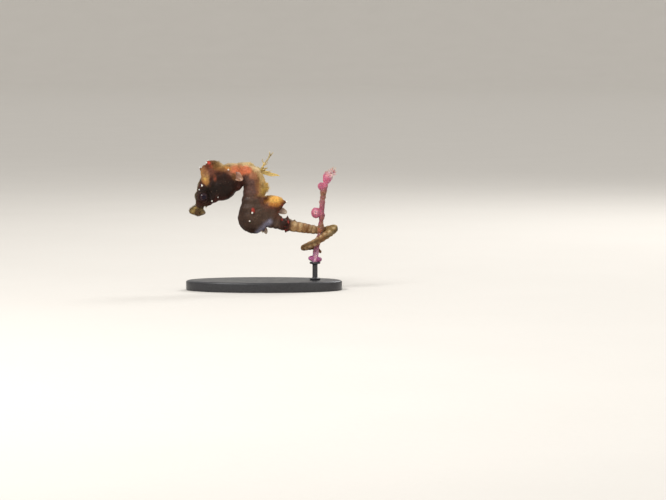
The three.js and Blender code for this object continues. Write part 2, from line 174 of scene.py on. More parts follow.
def to_head(points):
    """Points in the head's own frame: forward -X, up +Z, symmetric about y = 0."""
    c, s = math.cos(HEAD_YAW), math.sin(HEAD_YAW)
    x, y, z = (points - HEAD_ORIGIN).T
    return np.stack([c * x + s * y, -s * x + c * y, z], axis=1)


def from_head(points):
    c, s = math.cos(HEAD_YAW), math.sin(HEAD_YAW)
    x, y, z = np.atleast_2d(np.asarray(points, float)).T
    return np.stack([c * x - s * y, s * x + c * y, z], axis=1) + HEAD_ORIGIN


# ---- The body's line and the places along it ----
stem_points = spline([(x, 0, z) for x, z in STEM_LINE], 40)


def coil_points():
    """The line of the tail round the stem, and the direction away from the stem at each of its points."""
    degrees = np.arange(GRIP_FROM, GRIP_TO + 1, 5.0)
    share = (degrees - GRIP_FROM) / (GRIP_TO - GRIP_FROM)
    height = GRIP_HEIGHT - COIL_PITCH * (degrees - GRIP_FROM) / 360
    radius = TAIL_AT_GRIP + (TAIL_AT_TIP - TAIL_AT_GRIP) * share**TAIL_TAPER
    reach = STEM_RADIUS + GRIP_CLEARANCE + radius
    for out, up, at in LOOSE_LOOPS:
        height += up * bell(degrees, at, LOOSE_SPREAD)
        reach += out * bell(degrees, at, LOOSE_SPREAD)
    axis = np.interp(height, stem_points[:, 2], stem_points[:, 0])
    turn = np.radians(degrees)
    away = np.stack([-np.cos(turn), np.sin(turn), 0 * turn], axis=1)
    centre = np.stack([axis, 0 * axis, height], axis=1)
    return centre + reach[:, None] * away, away


class BodyLine:
    """Evenly spaced samples along the body, each with its direction, its back's and its right side's."""

    SPACING = 0.04
    BATCH = 60000  # how many points are located at once

    def __init__(self):
        head = from_head([(x, 0, z) for x, z in HEAD_LINE])
        trunk = np.array([(x, 0, z) for x, z in TRUNK_LINE])
        coil, away = coil_points()
        raw = np.vstack([spline(np.vstack([head, trunk, TAIL_LINE]), 12), coil])
        length = np.concatenate([[0], np.cumsum(np.linalg.norm(np.diff(raw, axis=0), axis=1))])
        self.s = np.arange(0, length[-1], self.SPACING)
        self.at = np.stack([np.interp(self.s, length, raw[:, k]) for k in range(3)], axis=1)
        self.along = unit(np.gradient(self.at, axis=0))
        self.neck = self.place(HEAD_ORIGIN)
        self.vent = self.place((0.6, 0, 3.5))
        self.grip = self.place(coil[0])
        self.tip = self.s[-1]
        self.aim_back(coil, away)

    def place(self, point):
        """How far along the body a point lies."""
        return self.s[np.argmin(distance_to(point, self.at))]

    def aim_back(self, coil, away):
        yaw = HEAD_YAW * (1 - smoothstep(self.neck - 0.8, self.neck + 0.2, self.s))
        side = np.stack([-np.sin(yaw), np.cos(yaw), 0 * yaw], axis=1)
        plain = np.cross(self.along, side)
        nearest = np.argmin(np.linalg.norm(self.at[:, None] - coil[None], axis=2), axis=1)
        grip = smoothstep(self.grip - 0.3, self.grip + 1.2, self.s)[:, None]
        back = plain * (1 - grip) + away[nearest] * grip
        back -= self.along * np.sum(back * self.along, axis=1, keepdims=True)
        self.back = unit(back)
        self.right = np.cross(self.back, self.along)

    def locate(self, points):
        """Each point's length along the body, angle from its back (+ to the right) and distance."""
        best = np.empty(len(points), np.int64)
        weights = -2 * self.at.T
        offset = np.sum(self.at**2, axis=1)
        for start in range(0, len(points), self.BATCH):
            part = slice(start, start + self.BATCH)
            best[part] = np.argmin(points[part] @ weights + offset, axis=1)
        out = points - self.at[best]
        ahead = np.sum(out * self.along[best], axis=1)
        out -= ahead[:, None] * self.along[best]
        up = np.sum(out * self.back[best], axis=1)
        right = np.sum(out * self.right[best], axis=1)
        return self.s[best] + ahead, np.arctan2(right, up), np.hypot(up, right)


line = BodyLine()


def ring_count(s):
    """The rings passed so far: whole numbers are the joints between rings."""
    trunk = TRUNK_RINGS * (s - line.neck) / (line.vent - line.neck)
    t = np.clip((s - line.vent) / (line.tip - line.vent), 0, 1)
    tail = TRUNK_RINGS + TAIL_RINGS * ((1 - TAIL_SHORTENING) * t + TAIL_SHORTENING * t * t)
    return np.where(s < line.vent, trunk, tail)


def ring_length(s):
    """How long the ring is at each place along the body."""
    t = np.clip((s - line.vent) / (line.tip - line.vent), 0, 1)
    tail = (line.tip - line.vent) / TAIL_RINGS / (1 - TAIL_SHORTENING + 2 * TAIL_SHORTENING * t)
    return np.where(s < line.vent, (line.vent - line.neck) / TRUNK_RINGS, tail)


# ---- Distance fields ----
def blur(values, sigma):
    """A Gaussian blur of a 3-D array, sigma in voxels."""
    reach = math.ceil(2.5 * sigma)
    taps = np.exp(-0.5 * (np.arange(-reach, reach + 1) / sigma) ** 2)
    taps = (taps / taps.sum()).astype(np.float32)
    for axis in range(3):
        moved = np.moveaxis(values, axis, 0)
        padded = np.concatenate([moved[:1]] * reach + [moved] + [moved[-1:]] * reach)
        total = np.zeros_like(moved)
        for k, tap in enumerate(taps):
            total += tap * padded[k : k + len(moved)]
        values = np.moveaxis(total, 0, axis)
    return np.ascontiguousarray(values)


def cone(a, b, radius_a, radius_b):
    """The distance to a round-ended cone from a to b."""
    a, b = np.asarray(a, float), np.asarray(b, float)
    run = b - a

    def distance(x, y, z):
        px, py, pz = x - a[0], y - a[1], z - a[2]
        t = np.clip((px * run[0] + py * run[1] + pz * run[2]) / (run @ run), 0, 1)
        gap = np.sqrt((px - t * run[0]) ** 2 + (py - t * run[1]) ** 2 + (pz - t * run[2]) ** 2)
        return gap - (radius_a + (radius_b - radius_a) * t)

    reach = max(radius_a, radius_b)
    return distance, np.minimum(a, b) - reach, np.maximum(a, b) + reach


def ball(centre, radius):
    centre = np.asarray(centre, float)

    def distance(x, y, z):
        return np.sqrt((x - centre[0]) ** 2 + (y - centre[1]) ** 2 + (z - centre[2]) ** 2) - radius

    return distance, centre - radius, centre + radius


class Field:
    """A distance field in millimetres on a regular grid, negative inside."""

    def __init__(self, low, high, voxel):
        self.voxel = voxel
        self.first = np.floor(np.asarray(low) / voxel).astype(int)
        size = np.ceil(np.asarray(high) / voxel).astype(int) - self.first + 1
        self.values = np.full(size, 8 * voxel, np.float32)

    def near_surface(self, depth):
        """Which voxels lie near the surface, and their places."""
        near = np.nonzero(np.abs(self.values) < depth)
        return near, (np.stack(near, axis=1) + self.first) * self.voxel

    def part(self, low, high, margin):
        """The voxels of a box grown by a margin, and their places along each axis."""
        start = np.floor((low - margin) / self.voxel).astype(int) - self.first
        stop = np.ceil((high + margin) / self.voxel).astype(int) - self.first + 1
        start, stop = np.maximum(start, 0), np.minimum(stop, self.values.shape)
        window = tuple(slice(a, b) for a, b in zip(start, stop))
        lines = [(np.arange(a, b) + f) * self.voxel for a, b, f in zip(start, stop, self.first)]
        return window, np.meshgrid(*lines, indexing="ij", sparse=True)

    def merge(self, shape, blend, sign):
        distance, low, high = shape
        window, grid = self.part(low, high, blend + 6 * self.voxel)
        new, old = sign * distance(*grid), self.values[window]
        share = np.clip(0.5 + sign * 0.5 * (new - old) / blend, 0, 1)
        self.values[window] = new + (old - new) * share - sign * blend * share * (1 - share)

    def join(self, shape, blend):
        """Adds a shape, with a fillet about as wide as blend."""
        self.merge(shape, blend, 1)

    def cut(self, shape, blend):
        """Takes a shape away, with an edge rounded about as wide as blend."""
        self.merge(shape, blend, -1)

    def surface(self):
        """The surface's points and quads."""
        grid = openvdb.FloatGrid()
        grid.transform = openvdb.createLinearTransform(voxelSize=self.voxel)
        grid.copyFromArray(self.values, ijk=tuple(int(v) for v in self.first))
        points, quads = grid.convertToQuads(isovalue=0.0)
        return points.astype(float), quads.astype(np.int64)


def node_surface(name):
    """A CAD node's vertices in millimetres, and its triangles."""
    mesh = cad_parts[name].data
    mesh.calc_loop_triangles()
    points = np.empty(3 * len(mesh.vertices), np.float32)
    faces = np.empty(3 * len(mesh.loop_triangles), np.int32)
    mesh.vertices.foreach_get("co", points)
    mesh.loop_triangles.foreach_get("vertices", faces)
    return points.reshape(-1, 3) / MM, faces.reshape(-1, 3)


def node_box(name):
    low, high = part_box(name)
    return np.array(low) / MM, np.array(high) / MM


def flesh_field():
    """The solids of flesh as one field, with the cuts between them closed."""
    points, faces = stacked(node_surface(name) for name in FLESH)
    faces = faces.astype(np.uint32)
    transform = openvdb.createLinearTransform(voxelSize=VOXEL)
    make = openvdb.FloatGrid.createLevelSetFromPolygons
    solids = make(points, triangles=faces, transform=transform, halfWidth=NARROW_BAND)
    shell, quads = solids.convertToQuads(isovalue=CUT_CLOSING)
    grown = make(shell, quads=quads, transform=transform, halfWidth=WIDE_BAND)
    field = Field(points.min(0) - 0.3, points.max(0) + 0.3, VOXEL)
    grown.copyToArray(field.values, ijk=tuple(int(v) for v in field.first))
    field.values = blur(field.values + CUT_CLOSING, SMOOTHING) + SKIN_INSET
    return field


# ---- The coats of fuzz ----
class Coat(NamedTuple):
    threads: int
    shortest: float
    longest: float
    radius: float  # at a thread's root
    stand: float  # 0 lies along the body, 1 stands square to it
    tip: tuple  # the colour that the threads turn to at their tips
    depth: float  # how much lower the skin lies under this coat


COATS = {
    "snout_fuzz": Coat(8500, 0.02, 0.07, 0.0032, 0.75, (0.32, 0.225, 0.09), 0.02),
    "face_fuzz": Coat(5500, 0.015, 0.07, 0.003, 0.75, (0.42, 0.33, 0.18), 0.02),
    "crown_fuzz": Coat(6500, 0.02, 0.085, 0.0028, 0.7, (0.42, 0.26, 0.085), 0.02),
    "nape_fuzz": Coat(8500, 0.02, 0.1, 0.0028, 0.72, (0.9, 0.71, 0.31), 0.03),
    "body_fuzz": Coat(5000, 0.012, 0.065, 0.0024, 0.6, (0.60, 0.42, 0.17), 0.0),
}


# ---- The skin's relief ----
# The gill cover's centre x and z, half sizes and tilt, in the head's frame.
GILL = (-1.04, -0.68, 0.8, 0.7, -0.45)
GILL_GROOVE, GILL_SWELL, GILL_RAYS = 0.018, 0.006, 0.005  # depths
EYE_FOLD, EYE_WRINKLES = 0.02, 0.007  # depths of the folds round the turret
TUFT_LUMPS = (0.045, 0.03, 0.012)  # depths on the snout, coarse to fine
RING_GROOVE, RING_SWELL, RIDGE, GRIP_SWELL = 0.01, 0.006, 0.009, 0.012
EYE_TURRET = 0.315  # radii, here and below
EYEBALL = 0.262
EYE_OPENING, EYE_OPENING_OUT = 0.265, 0.34
MOUTH = [(-2.36, 0, -1.98), (-2.47, 0, -2.2)]  # from inside the snout's tip to outside it, in the head
MOUTH_RADII = (0.02, 0.06)
EYE_LOOKS = unit(np.array([-0.02, 1.0, -0.07]))  # the right eye's direction in the head's frame


def eye_centre(side):
    low, high = node_box("eye_left" if side < 0 else "eye_right")
    return (low + high) / 2


def eye_direction(side):
    looks = EYE_LOOKS * (1, side, 1)
    return (from_head(looks) - HEAD_ORIGIN)[0]


def gill_place(head):
    """How far out a point lies on the gill cover, 1 at its edge, and its angle round the cover's front."""
    x0, z0, half_x, half_z, tilt = GILL
    dx, dz = head[:, 0] - x0, head[:, 2] - z0
    along = dx * math.cos(tilt) - dz * math.sin(tilt)
    across = dx * math.sin(tilt) + dz * math.cos(tilt)
    return np.hypot(along / half_x, across / half_z), np.arctan2(across, along + 0.55)


def head_relief(head):
    """The gill cover, the folds round the eye's turret and the snout's lumpy tufts."""
    out, angle = gill_place(head)
    flank = smoothstep(0.12, 0.3, np.abs(head[:, 1]))
    rays = np.cos(22 * angle) * smoothstep(0.35, 0.7, out) * (1 - smoothstep(0.85, 1, out))
    height = -GILL_GROOVE * bell(out, 1.0, 0.09) * flank
    height += GILL_SWELL * flank * (1 - smoothstep(0.75, 0.98, out))
    height += GILL_RAYS * rays * flank
    eye = to_head(np.array([eye_centre(1)]))[0]
    off = np.hypot(head[:, 0] - eye[0], head[:, 2] - eye[2])
    turn = np.arctan2(head[:, 2] - eye[2], head[:, 0] - eye[0])
    height -= EYE_FOLD * bell(off, 0.4, 0.045) * flank
    height += EYE_WRINKLES * np.cos(9 * turn + 1.3) * bell(off, 0.46, 0.1) * flank
    snout = smoothstep(-1.45, -1.6, head[:, 2])
    coarse, middle, fine = TUFT_LUMPS
    lumps = coarse * noise_a(head, 0.24) + middle * noise_c(head, 0.12) + fine * noise_b(head, 0.06)
    height += snout * lumps
    height += 0.02 * (1 - snout) * noise_b(head + 5, 0.3)
    return height


TRUNK_RIDGES = [0.7, 1.57, 2.45]  # radians from the back
TAIL_RIDGES = [0.8, 2.35]


def ridge_relief(s, side, rho, ridges, strength, seed):
    """Ridges along the body, with a knob on each where it crosses the middle of a ring."""
    count = ring_count(s)
    ring = np.floor(count)
    off_middle = (count - ring - 0.5) * ring_length(s)
    height = np.zeros(len(s))
    for k, ridge in enumerate(ridges):
        gap = (side - ridge) * rho
        luck = np.modf(np.abs(np.sin(ring * 12.9898 + (k + seed) * 78.233) * 437.585))[0]
        height += strength * bell(gap, 0, 0.07)
        height += strength * (0.8 + 2.4 * luck**2) * bell(np.hypot(gap, off_middle), 0, 0.05)
    return height


def body_relief(points, s, phi, rho):
    """The bony rings and the ridges that join them, faint on the swollen belly."""
    side = np.abs(phi)
    thick = np.clip(rho, 0.08, 0.5) / 0.5
    count = ring_count(s)
    from_joint = np.abs(count - np.round(count)) * ring_length(s)
    belly = bell(points[:, 0], -0.65, 0.65) * bell(points[:, 2], 3.55, 0.6)
    plain = 1 - 0.85 * belly
    on_tail = smoothstep(line.vent - 0.2, line.vent + 0.3, s)
    strength = thick * plain * (1 + 1.2 * on_tail)
    height = -RING_GROOVE * strength * bell(from_joint, 0, 0.03)
    height += RING_SWELL * strength * np.cos(2 * math.pi * (count - 0.5))
    for ridges, share in [(TRUNK_RIDGES, 1 - on_tail), (TAIL_RIDGES, on_tail)]:
        height += share * plain * ridge_relief(s, side, rho, ridges, RIDGE * np.sqrt(thick), len(ridges))
    height += GRIP_SWELL * smoothstep(line.grip, line.grip + 0.4, s)
    return height


def coat_regions(points, s, phi):
    """How thickly each coat grows at each point, from 0 to 1."""
    side = np.abs(phi)
    x, _, z = points.T
    head_x, head_y, head_z = to_head(points).T
    on_head = 1 - smoothstep(line.neck - 0.2, line.neck + 0.2, s)
    snout = on_head * smoothstep(-1.62, -1.82, head_z)
    front = bell(head_y, 0, 0.16) * smoothstep(-1.75, -1.95, head_x) * smoothstep(0.3, 0.1, head_z)
    crown = smoothstep(0.12, 0.36, head_z + 0.3 * smoothstep(-1.2, 0.0, head_x))
    nape = (1 - smoothstep(0.75, 1.3, side)) * smoothstep(4.6, 4.85, z) * smoothstep(-1.6, -1.2, x)
    back = (1 - smoothstep(0.2, 0.6, side)) * (1 - smoothstep(3.8, 4.2, z))
    hump = bell(x, 0.6, 0.4) * smoothstep(4.2, 4.45, z) * smoothstep(0.0, 0.2, x)
    return {
        "snout_fuzz": snout,
        "face_fuzz": on_head * (1 - snout) * front,
        "crown_fuzz": on_head * crown,
        "nape_fuzz": (1 - on_head) * nape,
        "body_fuzz": (1 - on_head) * (0.1 + 0.5 * back + hump) * (1 - nape),
    }


def relief(points):
    """How far the surface stands out from the smoothed solids."""
    s, phi, rho = line.locate(points)
    on_head = 1 - smoothstep(line.neck - 0.15, line.neck + 0.15, s)
    height = on_head * head_relief(to_head(points))
    height += (1 - on_head) * body_relief(points, s, phi, rho)
    calm = 1 - 0.75 * smoothstep(line.vent, line.grip + 1.5, s)
    height += calm * (0.013 * noise_a(points, 0.4) + 0.007 * noise_b(points, 0.15))
    for name, thickness in coat_regions(points, s, phi).items():
        height -= COATS[name].depth * thickness
    return height + 0.003 * noise_c(points, 0.07)


# ---- Spines: root, tip, radius at the root, and whether the tip is painted white, partly the spine's own white and partly a painted glint. The head's are in its frame ----
HEAD_SPINES = [
    ((-1.74, 0.0, 0.5), (-1.77, 0.03, 0.67), 0.06, True),
    ((-1.82, -0.05, 0.4), (-1.9, -0.09, 0.56), 0.06, True),
    ((-2.14, 0, 0.2), (-2.22, -0.05, 0.32), 0.05, True),
    ((-1.3, 0, 0.4), (-1.24, 0, 0.55), 0.09, False),
    ((-1.85, 0, -1.5), (-1.88, 0, -1.72), 0.07, True),
    ((-2.28, 0, -1.1), (-2.42, 0, -1.06), 0.06, False),
]
PAIRED_HEAD_SPINES = [
    ((-1.58, 0.1, 0.4), (-1.62, 0.24, 0.57), 0.08, False),
    ((-2.08, 0.25, -0.77), (-2.2, 0.42, -0.52), 0.12, True),
    ((-2.2, 0.19, -0.84), (-2.32, 0.29, -0.78), 0.06, True),
    ((-1.68, 0.26, -1.28), (-1.66, 0.41, -1.38), 0.08, True),
    ((-0.8, 0.3, 0.05), (-0.84, 0.46, 0.24), 0.08, True),
    ((-1.38, 0.38, -1.12), (-1.37, 0.46, -1.18), 0.06, True),
]
BODY_SPINES = [
    ((0.9, 0, 4.36), (1.18, 0, 4.43), 0.11, True),
    ((0.08, 0, 5.28), (0.2, 0, 5.35), 0.09, False),
    ((-0.05, 0, 3.0), (-0.06, 0, 2.86), 0.08, True),
    ((1.17, 0, 3.5), (1.18, 0, 3.72), 0.1, False),
    ((1.12, 0, 3.03), (1.07, 0, 2.88), 0.09, False),
    ((1.5, 0.02, 3.4), (1.54, 0.02, 3.52), 0.07, False),
]
PAIRED_BODY_SPINES = [
    ((-0.55, 0.46, 4.02), (-0.57, 0.76, 3.86), 0.11, True),
    ((0.6, 0.28, 4.2), (0.66, 0.48, 4.34), 0.09, False),
    ((-0.04, 0.28, 4.52), (0.17, 0.46, 4.85), 0.1, True),
    ((1.12, 0.2, 3.3), (1.16, 0.4, 3.36), 0.08, False),
    ((-0.7, 0.5, 3.5), (-0.7, 0.62, 3.48), 0.04, True),
]
CORONET_KNOBS = [  # centre and radius of the blunt lumps that make the coronet, in the head's frame
    ((-1.75, 0, 0.47), 0.13),
    ((-1.96, 0, 0.3), 0.12),
    ((-1.64, 0.1, 0.44), 0.1),
    ((-1.64, -0.1, 0.44), 0.1),
    ((-1.5, 0, 0.45), 0.1),
]


def spine_list():
    """Every spine as root, tip, radius and whiteness, in the row's frame."""
    spines = []
    for root, tip, radius, white in HEAD_SPINES:
        spines.append((from_head(root)[0], from_head(tip)[0], radius, white))
    for side in (-1, 1):
        for root, tip, radius, white in PAIRED_HEAD_SPINES:
            turned = [from_head(np.array(p) * (1, side, 1))[0] for p in (root, tip)]
            spines.append((*turned, radius, white))
        for root, tip, radius, white in PAIRED_BODY_SPINES:
            turned = [np.array(p) * (1, side, 1) for p in (root, tip)]
            spines.append((*turned, radius, white))
    for root, tip, radius, white in BODY_SPINES:
        spines.append((np.array(root), np.array(tip), radius, white))
    return spines


SPINES = spine_list()


def skin_field():
    field = flesh_field()
    near, points = field.near_surface(BAND)
    field.values[near] -= relief(points)
    for centre, radius in CORONET_KNOBS:
        field.join(ball(from_head(centre)[0], radius), KNOB_FILLET)
    for root, tip, radius, _ in SPINES:
        field.join(cone(root, tip, radius, SPINE_TIP), SPINE_FILLET)
    for side in (-1, 1):
        centre, looks = eye_centre(side), eye_direction(side)
        field.join(ball(centre, EYE_TURRET - SKIN_INSET), SPINE_FILLET)
        field.cut(ball(centre + EYE_OPENING_OUT * looks, EYE_OPENING), LID_EDGE)
    inside, outside = from_head(MOUTH)
    field.cut(cone(inside, outside, *MOUTH_RADII), 0.03)
    return field


# ---- Meshes ----
def make_mesh(name, points, quads=(), triangles=()):
    """A mesh from points in millimetres."""
    quads = np.asarray(quads, np.int32).reshape(-1, 4)
    triangles = np.asarray(triangles, np.int32).reshape(-1, 3)
    starts = np.concatenate([4 * np.arange(len(quads)), 4 * len(quads) + 3 * np.arange(len(triangles))])
    mesh = bpy.data.meshes.new(name)
    mesh.vertices.add(len(points))
    mesh.vertices.foreach_set("co", (np.asarray(points) * MM).astype(np.float32).ravel())
    mesh.loops.add(quads.size + triangles.size)
    mesh.loops.foreach_set("vertex_index", np.concatenate([quads.ravel(), triangles.ravel()]))
    mesh.polygons.add(len(starts))
    mesh.polygons.foreach_set("loop_start", starts.astype(np.int32))
    mesh.polygons.foreach_set("use_smooth", np.ones(len(starts), bool))
    mesh.update(calc_edges=True)
    return mesh


def add_object(name, data):
    thing = bpy.data.objects.new(name, data)
    bpy.context.collection.objects.link(thing)
    return thing


def add_piece(name, mesh, material, replaced=()):
    """Puts a mesh in the scene as a piece of the still body, in the place of the CAD nodes it replaces."""
    piece = add_object(name, mesh)
    mesh.materials.append(material)
    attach(piece, "root")
    if replaced:
        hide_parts(*replaced)


def ring_quads(rings, around):
    """The quads that join rings of points to each other, with the points numbered from 0."""
    i, j = np.meshgrid(np.arange(rings - 1), np.arange(around), indexing="ij")
    k = (j + 1) % around
    return np.stack([i * around + j, i * around + k, (i + 1) * around + k, (i + 1) * around + j], axis=-1)


def fan(around, first, centre):
    """The triangles that close a ring of points, numbered from first, to a point at its centre."""
    j = np.arange(around)
    return np.stack([first + j, first + (j + 1) % around, 0 * j + centre], axis=1)


def tube_mesh(name, points, rings, around):
    """A mesh of rings of points joined end to end, closed by a fan at each end."""
    first, last = points[:around].mean(0), points[-around:].mean(0)
    count = rings * around
    caps = [fan(around, 0, count)[:, [1, 0, 2]], fan(around, count - around, count + 1)]
    return make_mesh(name, np.vstack([points, first, last]), ring_quads(rings, around), np.vstack(caps))


def set_tone(mesh, colours):
    """Stores a linear colour at each point, which the materials read as their base."""
    layer = mesh.attributes.new("tone", "FLOAT_COLOR", "POINT")
    values = np.column_stack([np.clip(colours, 0, 1), np.ones(len(colours))])
    layer.data.foreach_set("color", values.astype(np.float32).ravel())


# ---- Markings, the same for skin and fuzz. Colours are linear ----
BLACK = (0.011, 0.006, 0.004)
DARK = (0.021, 0.009, 0.006)
DARK_RED = (0.050, 0.014, 0.009)
RED_BROWN = (0.115, 0.034, 0.016)
RED = (0.46, 0.045, 0.03)
SIDE_BROWN = (0.150, 0.058, 0.034)
PURPLE_BROWN = (0.096, 0.049, 0.038)
GREY_BROWN = (0.058, 0.034, 0.023)
# painted sheen: a lavender reflection laid into the colour of the fold between belly and tail
PAINTED_SHEEN_LAVENDER = (0.22, 0.21, 0.28)
CORAL = (0.54, 0.145, 0.065)
PINK = (0.34, 0.14, 0.075)
CREAM = (0.62, 0.47, 0.28)
TAN = (0.30, 0.155, 0.05)
GOLDEN = (0.60, 0.39, 0.085)
ORANGE = (0.44, 0.175, 0.035)
# the hump's own gold, brightened into a painted highlight on its top
HUMP_GOLD_HIGHLIGHT = (0.62, 0.335, 0.075)
OLIVE_GOLD = (0.44, 0.31, 0.085)
TAIL_GOLD = (0.33, 0.20, 0.09)
TAIL_BROWN = (0.17, 0.075, 0.028)
OLIVE_TAN = (0.22, 0.145, 0.055)
BRONZE = (0.20, 0.08, 0.02)
LOOP_OLIVE = (0.17, 0.11, 0.028)
LOOP_BROWN = (0.10, 0.043, 0.010)
DARK_OLIVE = (0.075, 0.045, 0.018)
WHITE = (0.82, 0.80, 0.72)
MUSTARD = (0.33, 0.22, 0.07)
# the colour of a painted highlight
SNOUT_LUMP_HIGHLIGHT = (0.58, 0.43, 0.33)
FRINGE = (0.17, 0.12, 0.06)
THREAD_CREAM = (0.45, 0.37, 0.21)
FLECK = (0.42, 0.30, 0.20)
PEPPER = (0.02, 0.012, 0.01)

# Soft-edged patches: centre x and z, half width and half height, tilt, colour, strength.
HEAD_PATCHES = [
    (-1.7, 0.3, 0.75, 0.5, 0.1, RED_BROWN, 1.0),
    (-1.15, 0.28, 0.5, 0.2, -0.2, BRONZE, 0.7),
    (-0.45, 0.12, 0.5, 0.32, -0.1, PINK, 0.95),
    (-0.2, 0.2, 0.5, 0.28, 0.0, CORAL, 0.95),
    (-0.5, -0.2, 0.24, 0.2, -0.6, TAIL_BROWN, 0.85),
    (-0.85, 0.28, 0.22, 0.1, -0.4, ORANGE, 0.8),
    (-0.45, -0.75, 0.45, 0.35, -0.7, DARK_RED, 1.0),
    (-1.08, -0.6, 0.78, 0.66, -0.45, DARK, 1.0),
    (-1.15, -0.85, 0.5, 0.4, -0.45, BLACK, 0.7),
    (-1.52, -0.22, 0.1, 0.18, 0.1, RED_BROWN, 0.75),
    (-1.5, -0.25, 0.04, 0.06, 0.0, RED, 0.2),
    (-1.82, -0.62, 0.12, 0.1, 0.0, RED_BROWN, 0.7),
    (-1.9, -1.0, 0.6, 0.5, 0.3, BLACK, 0.95),
    (-1.98, -0.12, 0.2, 0.46, 0.1, TAN, 1.0),
    (-1.98, -0.42, 0.15, 0.16, 0.0, ORANGE, 0.35),
    (-1.99, -0.26, 0.07, 0.08, 0.0, GOLDEN, 0.6),
    (-1.95, 0.14, 0.14, 0.22, 0.1, PINK, 0.3),
    (-1.92, 0.16, 0.18, 0.3, 0.1, RED_BROWN, 0.45),
    (-1.76, 0.53, 0.1, 0.085, 0.0, RED, 0.85),
    (-1.66, 0.36, 0.12, 0.1, 0.0, RED, 0.2),
    (-2.6, -1.76, 0.2, 0.22, 0.0, MUSTARD, 0.9),
    (-2.34, -1.95, 0.13, 0.2, 0.3, SIDE_BROWN, 0.85),
    (-2.2, -1.66, 0.2, 0.1, -0.3, DARK, 0.7),
    # painted highlight: a pale pink glint on the snout's second lump
    (-2.02, -2.02, 0.09, 0.06, 0.3, SNOUT_LUMP_HIGHLIGHT, 0.8),
]
BODY_PATCHES = [
    (-0.88, 6.03, 0.36, 0.22, -0.2, CORAL, 1.0),
    (-0.5, 5.75, 0.24, 0.2, -0.6, PINK, 0.45),
    (0.15, 4.45, 0.35, 0.5, 0.3, RED_BROWN, 0.45),
    # The hump is golden-orange in its own colour. The yellow on its top is a painted highlight, and the
    # red-brown under it is painted shade.
    (0.66, 4.22, 0.42, 0.17, 0.1, RED_BROWN, 0.75),
    (0.56, 4.46, 0.46, 0.27, 0.05, ORANGE, 1.0),
    (0.58, 4.55, 0.36, 0.19, 0.05, HUMP_GOLD_HIGHLIGHT, 1.0),
    (1.02, 4.05, 0.16, 0.34, 0.15, DARK_RED, 0.9),
    (0.73, 3.9, 0.04, 0.045, 0.0, RED, 0.5),
    (0.95, 4.22, 0.045, 0.09, 0.2, RED, 0.4),
    (-0.55, 3.98, 0.13, 0.22, 0.0, DARK_RED, 0.75),
    (-0.53, 4.02, 0.09, 0.13, 0.0, RED, 0.55),
    (-0.12, 2.92, 0.09, 0.07, 0.0, CREAM, 0.7),
    (0.8, 3.8, 0.3, 0.3, 0.0, RED_BROWN, 0.3),
    (1.08, 3.3, 0.27, 0.5, 0.1, DARK_RED, 1.0),
    (1.04, 3.35, 0.22, 0.32, 0.1, DARK, 0.75),
    (0.91, 3.54, 0.05, 0.07, 0.3, RED, 0.35),
    (1.22, 3.42, 0.04, 0.08, 0.2, RED, 0.45),
    (1.05, 3.2, 0.04, 0.03, 0.0, RED, 0.35),
    (1.1, 3.0, 0.09, 0.04, -0.3, RED, 0.5),
    (2.1, 3.1, 0.13, 0.25, 0.0, TAIL_BROWN, 0.6),
    (2.42, 2.97, 0.24, 0.12, -0.1, CREAM, 0.3),
    (3.32, 2.86, 0.2, 0.1, 0.4, CREAM, 0.2),
]


def paint(colours, colour, mask):
    """Lays a colour over the others where the mask is near 1."""
    colours += (np.asarray(colour) - colours) * np.clip(mask, 0, 1)[:, None]


def add_patches(colours, x, z, ragged, patches):
    for x0, z0, half_x, half_z, tilt, colour, strength in patches:
        dx, dz = x - x0, z - z0
        along = (dx * math.cos(tilt) + dz * math.sin(tilt)) / half_x
        across = (dz * math.cos(tilt) - dx * math.sin(tilt)) / half_z
        mask = 1 - smoothstep(0.6, 1.25, np.hypot(along, across) + ragged)
        paint(colours, colour, strength * mask)


def near_segment(x, z, a, b):
    """The distance in the side view to the segment from a to b."""
    a, b = np.asarray(a), np.asarray(b)
    run = b - a
    t = np.clip(((x - a[0]) * run[0] + (z - a[1]) * run[1]) / (run @ run), 0, 1)
    return np.hypot(x - a[0] - t * run[0], z - a[1] - t * run[1])


def head_colour(points, ragged):
    head = to_head(points)
    x, y, z = head.T
    colours = filled(DARK_RED, points)
    paint(colours, OLIVE_TAN, smoothstep(-1.55, -1.75, z + 0.5 * ragged))
    add_patches(colours, x, z, ragged, HEAD_PATCHES)
    midline = bell(y, 0, 0.13)
    in_front = smoothstep(-0.15, -0.45, z) * smoothstep(-1.6, -1.9, x)
    paint(colours, DARK, 0.85 * midline * in_front)
    paint(colours, FRINGE, 0.6 * bell(y, 0, 0.06) * in_front * (1 + 4 * ragged))
    crest = bell(y, 0, 0.25) * smoothstep(0.1, 0.35, z) * smoothstep(-1.75, -0.9, x)
    paint(colours, OLIVE_GOLD, 0.6 * crest)
    crest = bell(y, 0, 0.2) * smoothstep(0.22, 0.45, z) * smoothstep(-1.5, -0.8, x)
    paint(colours, CREAM, 0.8 * crest)
    return colours


def neck_colour(points, side, ragged):
    x, _, z = points.T
    colours = filled(SIDE_BROWN, points)
    paint(colours, PURPLE_BROWN, 0.9 * smoothstep(1.3, 1.75, side + ragged))
    paint(colours, GREY_BROWN, smoothstep(5.0, 4.4, z + 0.5 * ragged))
    paint(colours, DARK, 0.55 * smoothstep(1.9, 2.6, side + ragged))
    on_neck = smoothstep(4.6, 4.9, z) * smoothstep(-1.5, -1.1, x)
    paint(colours, TAIL_BROWN, 0.7 * on_neck * (1 - smoothstep(1.2, 1.7, side + 1.2 * ragged)))
    paint(colours, TAN, on_neck * (1 - smoothstep(0.95, 1.3, side + 1.3 * ragged)))
    paint(colours, GOLDEN, 0.9 * on_neck * (1 - smoothstep(0.5, 1.0, side + 1.5 * ragged)))
    paint(colours, CREAM, 0.75 * smoothstep(5.2, 5.7, z) * (1 - smoothstep(0.6, 1.15, side + ragged)))
    return colours


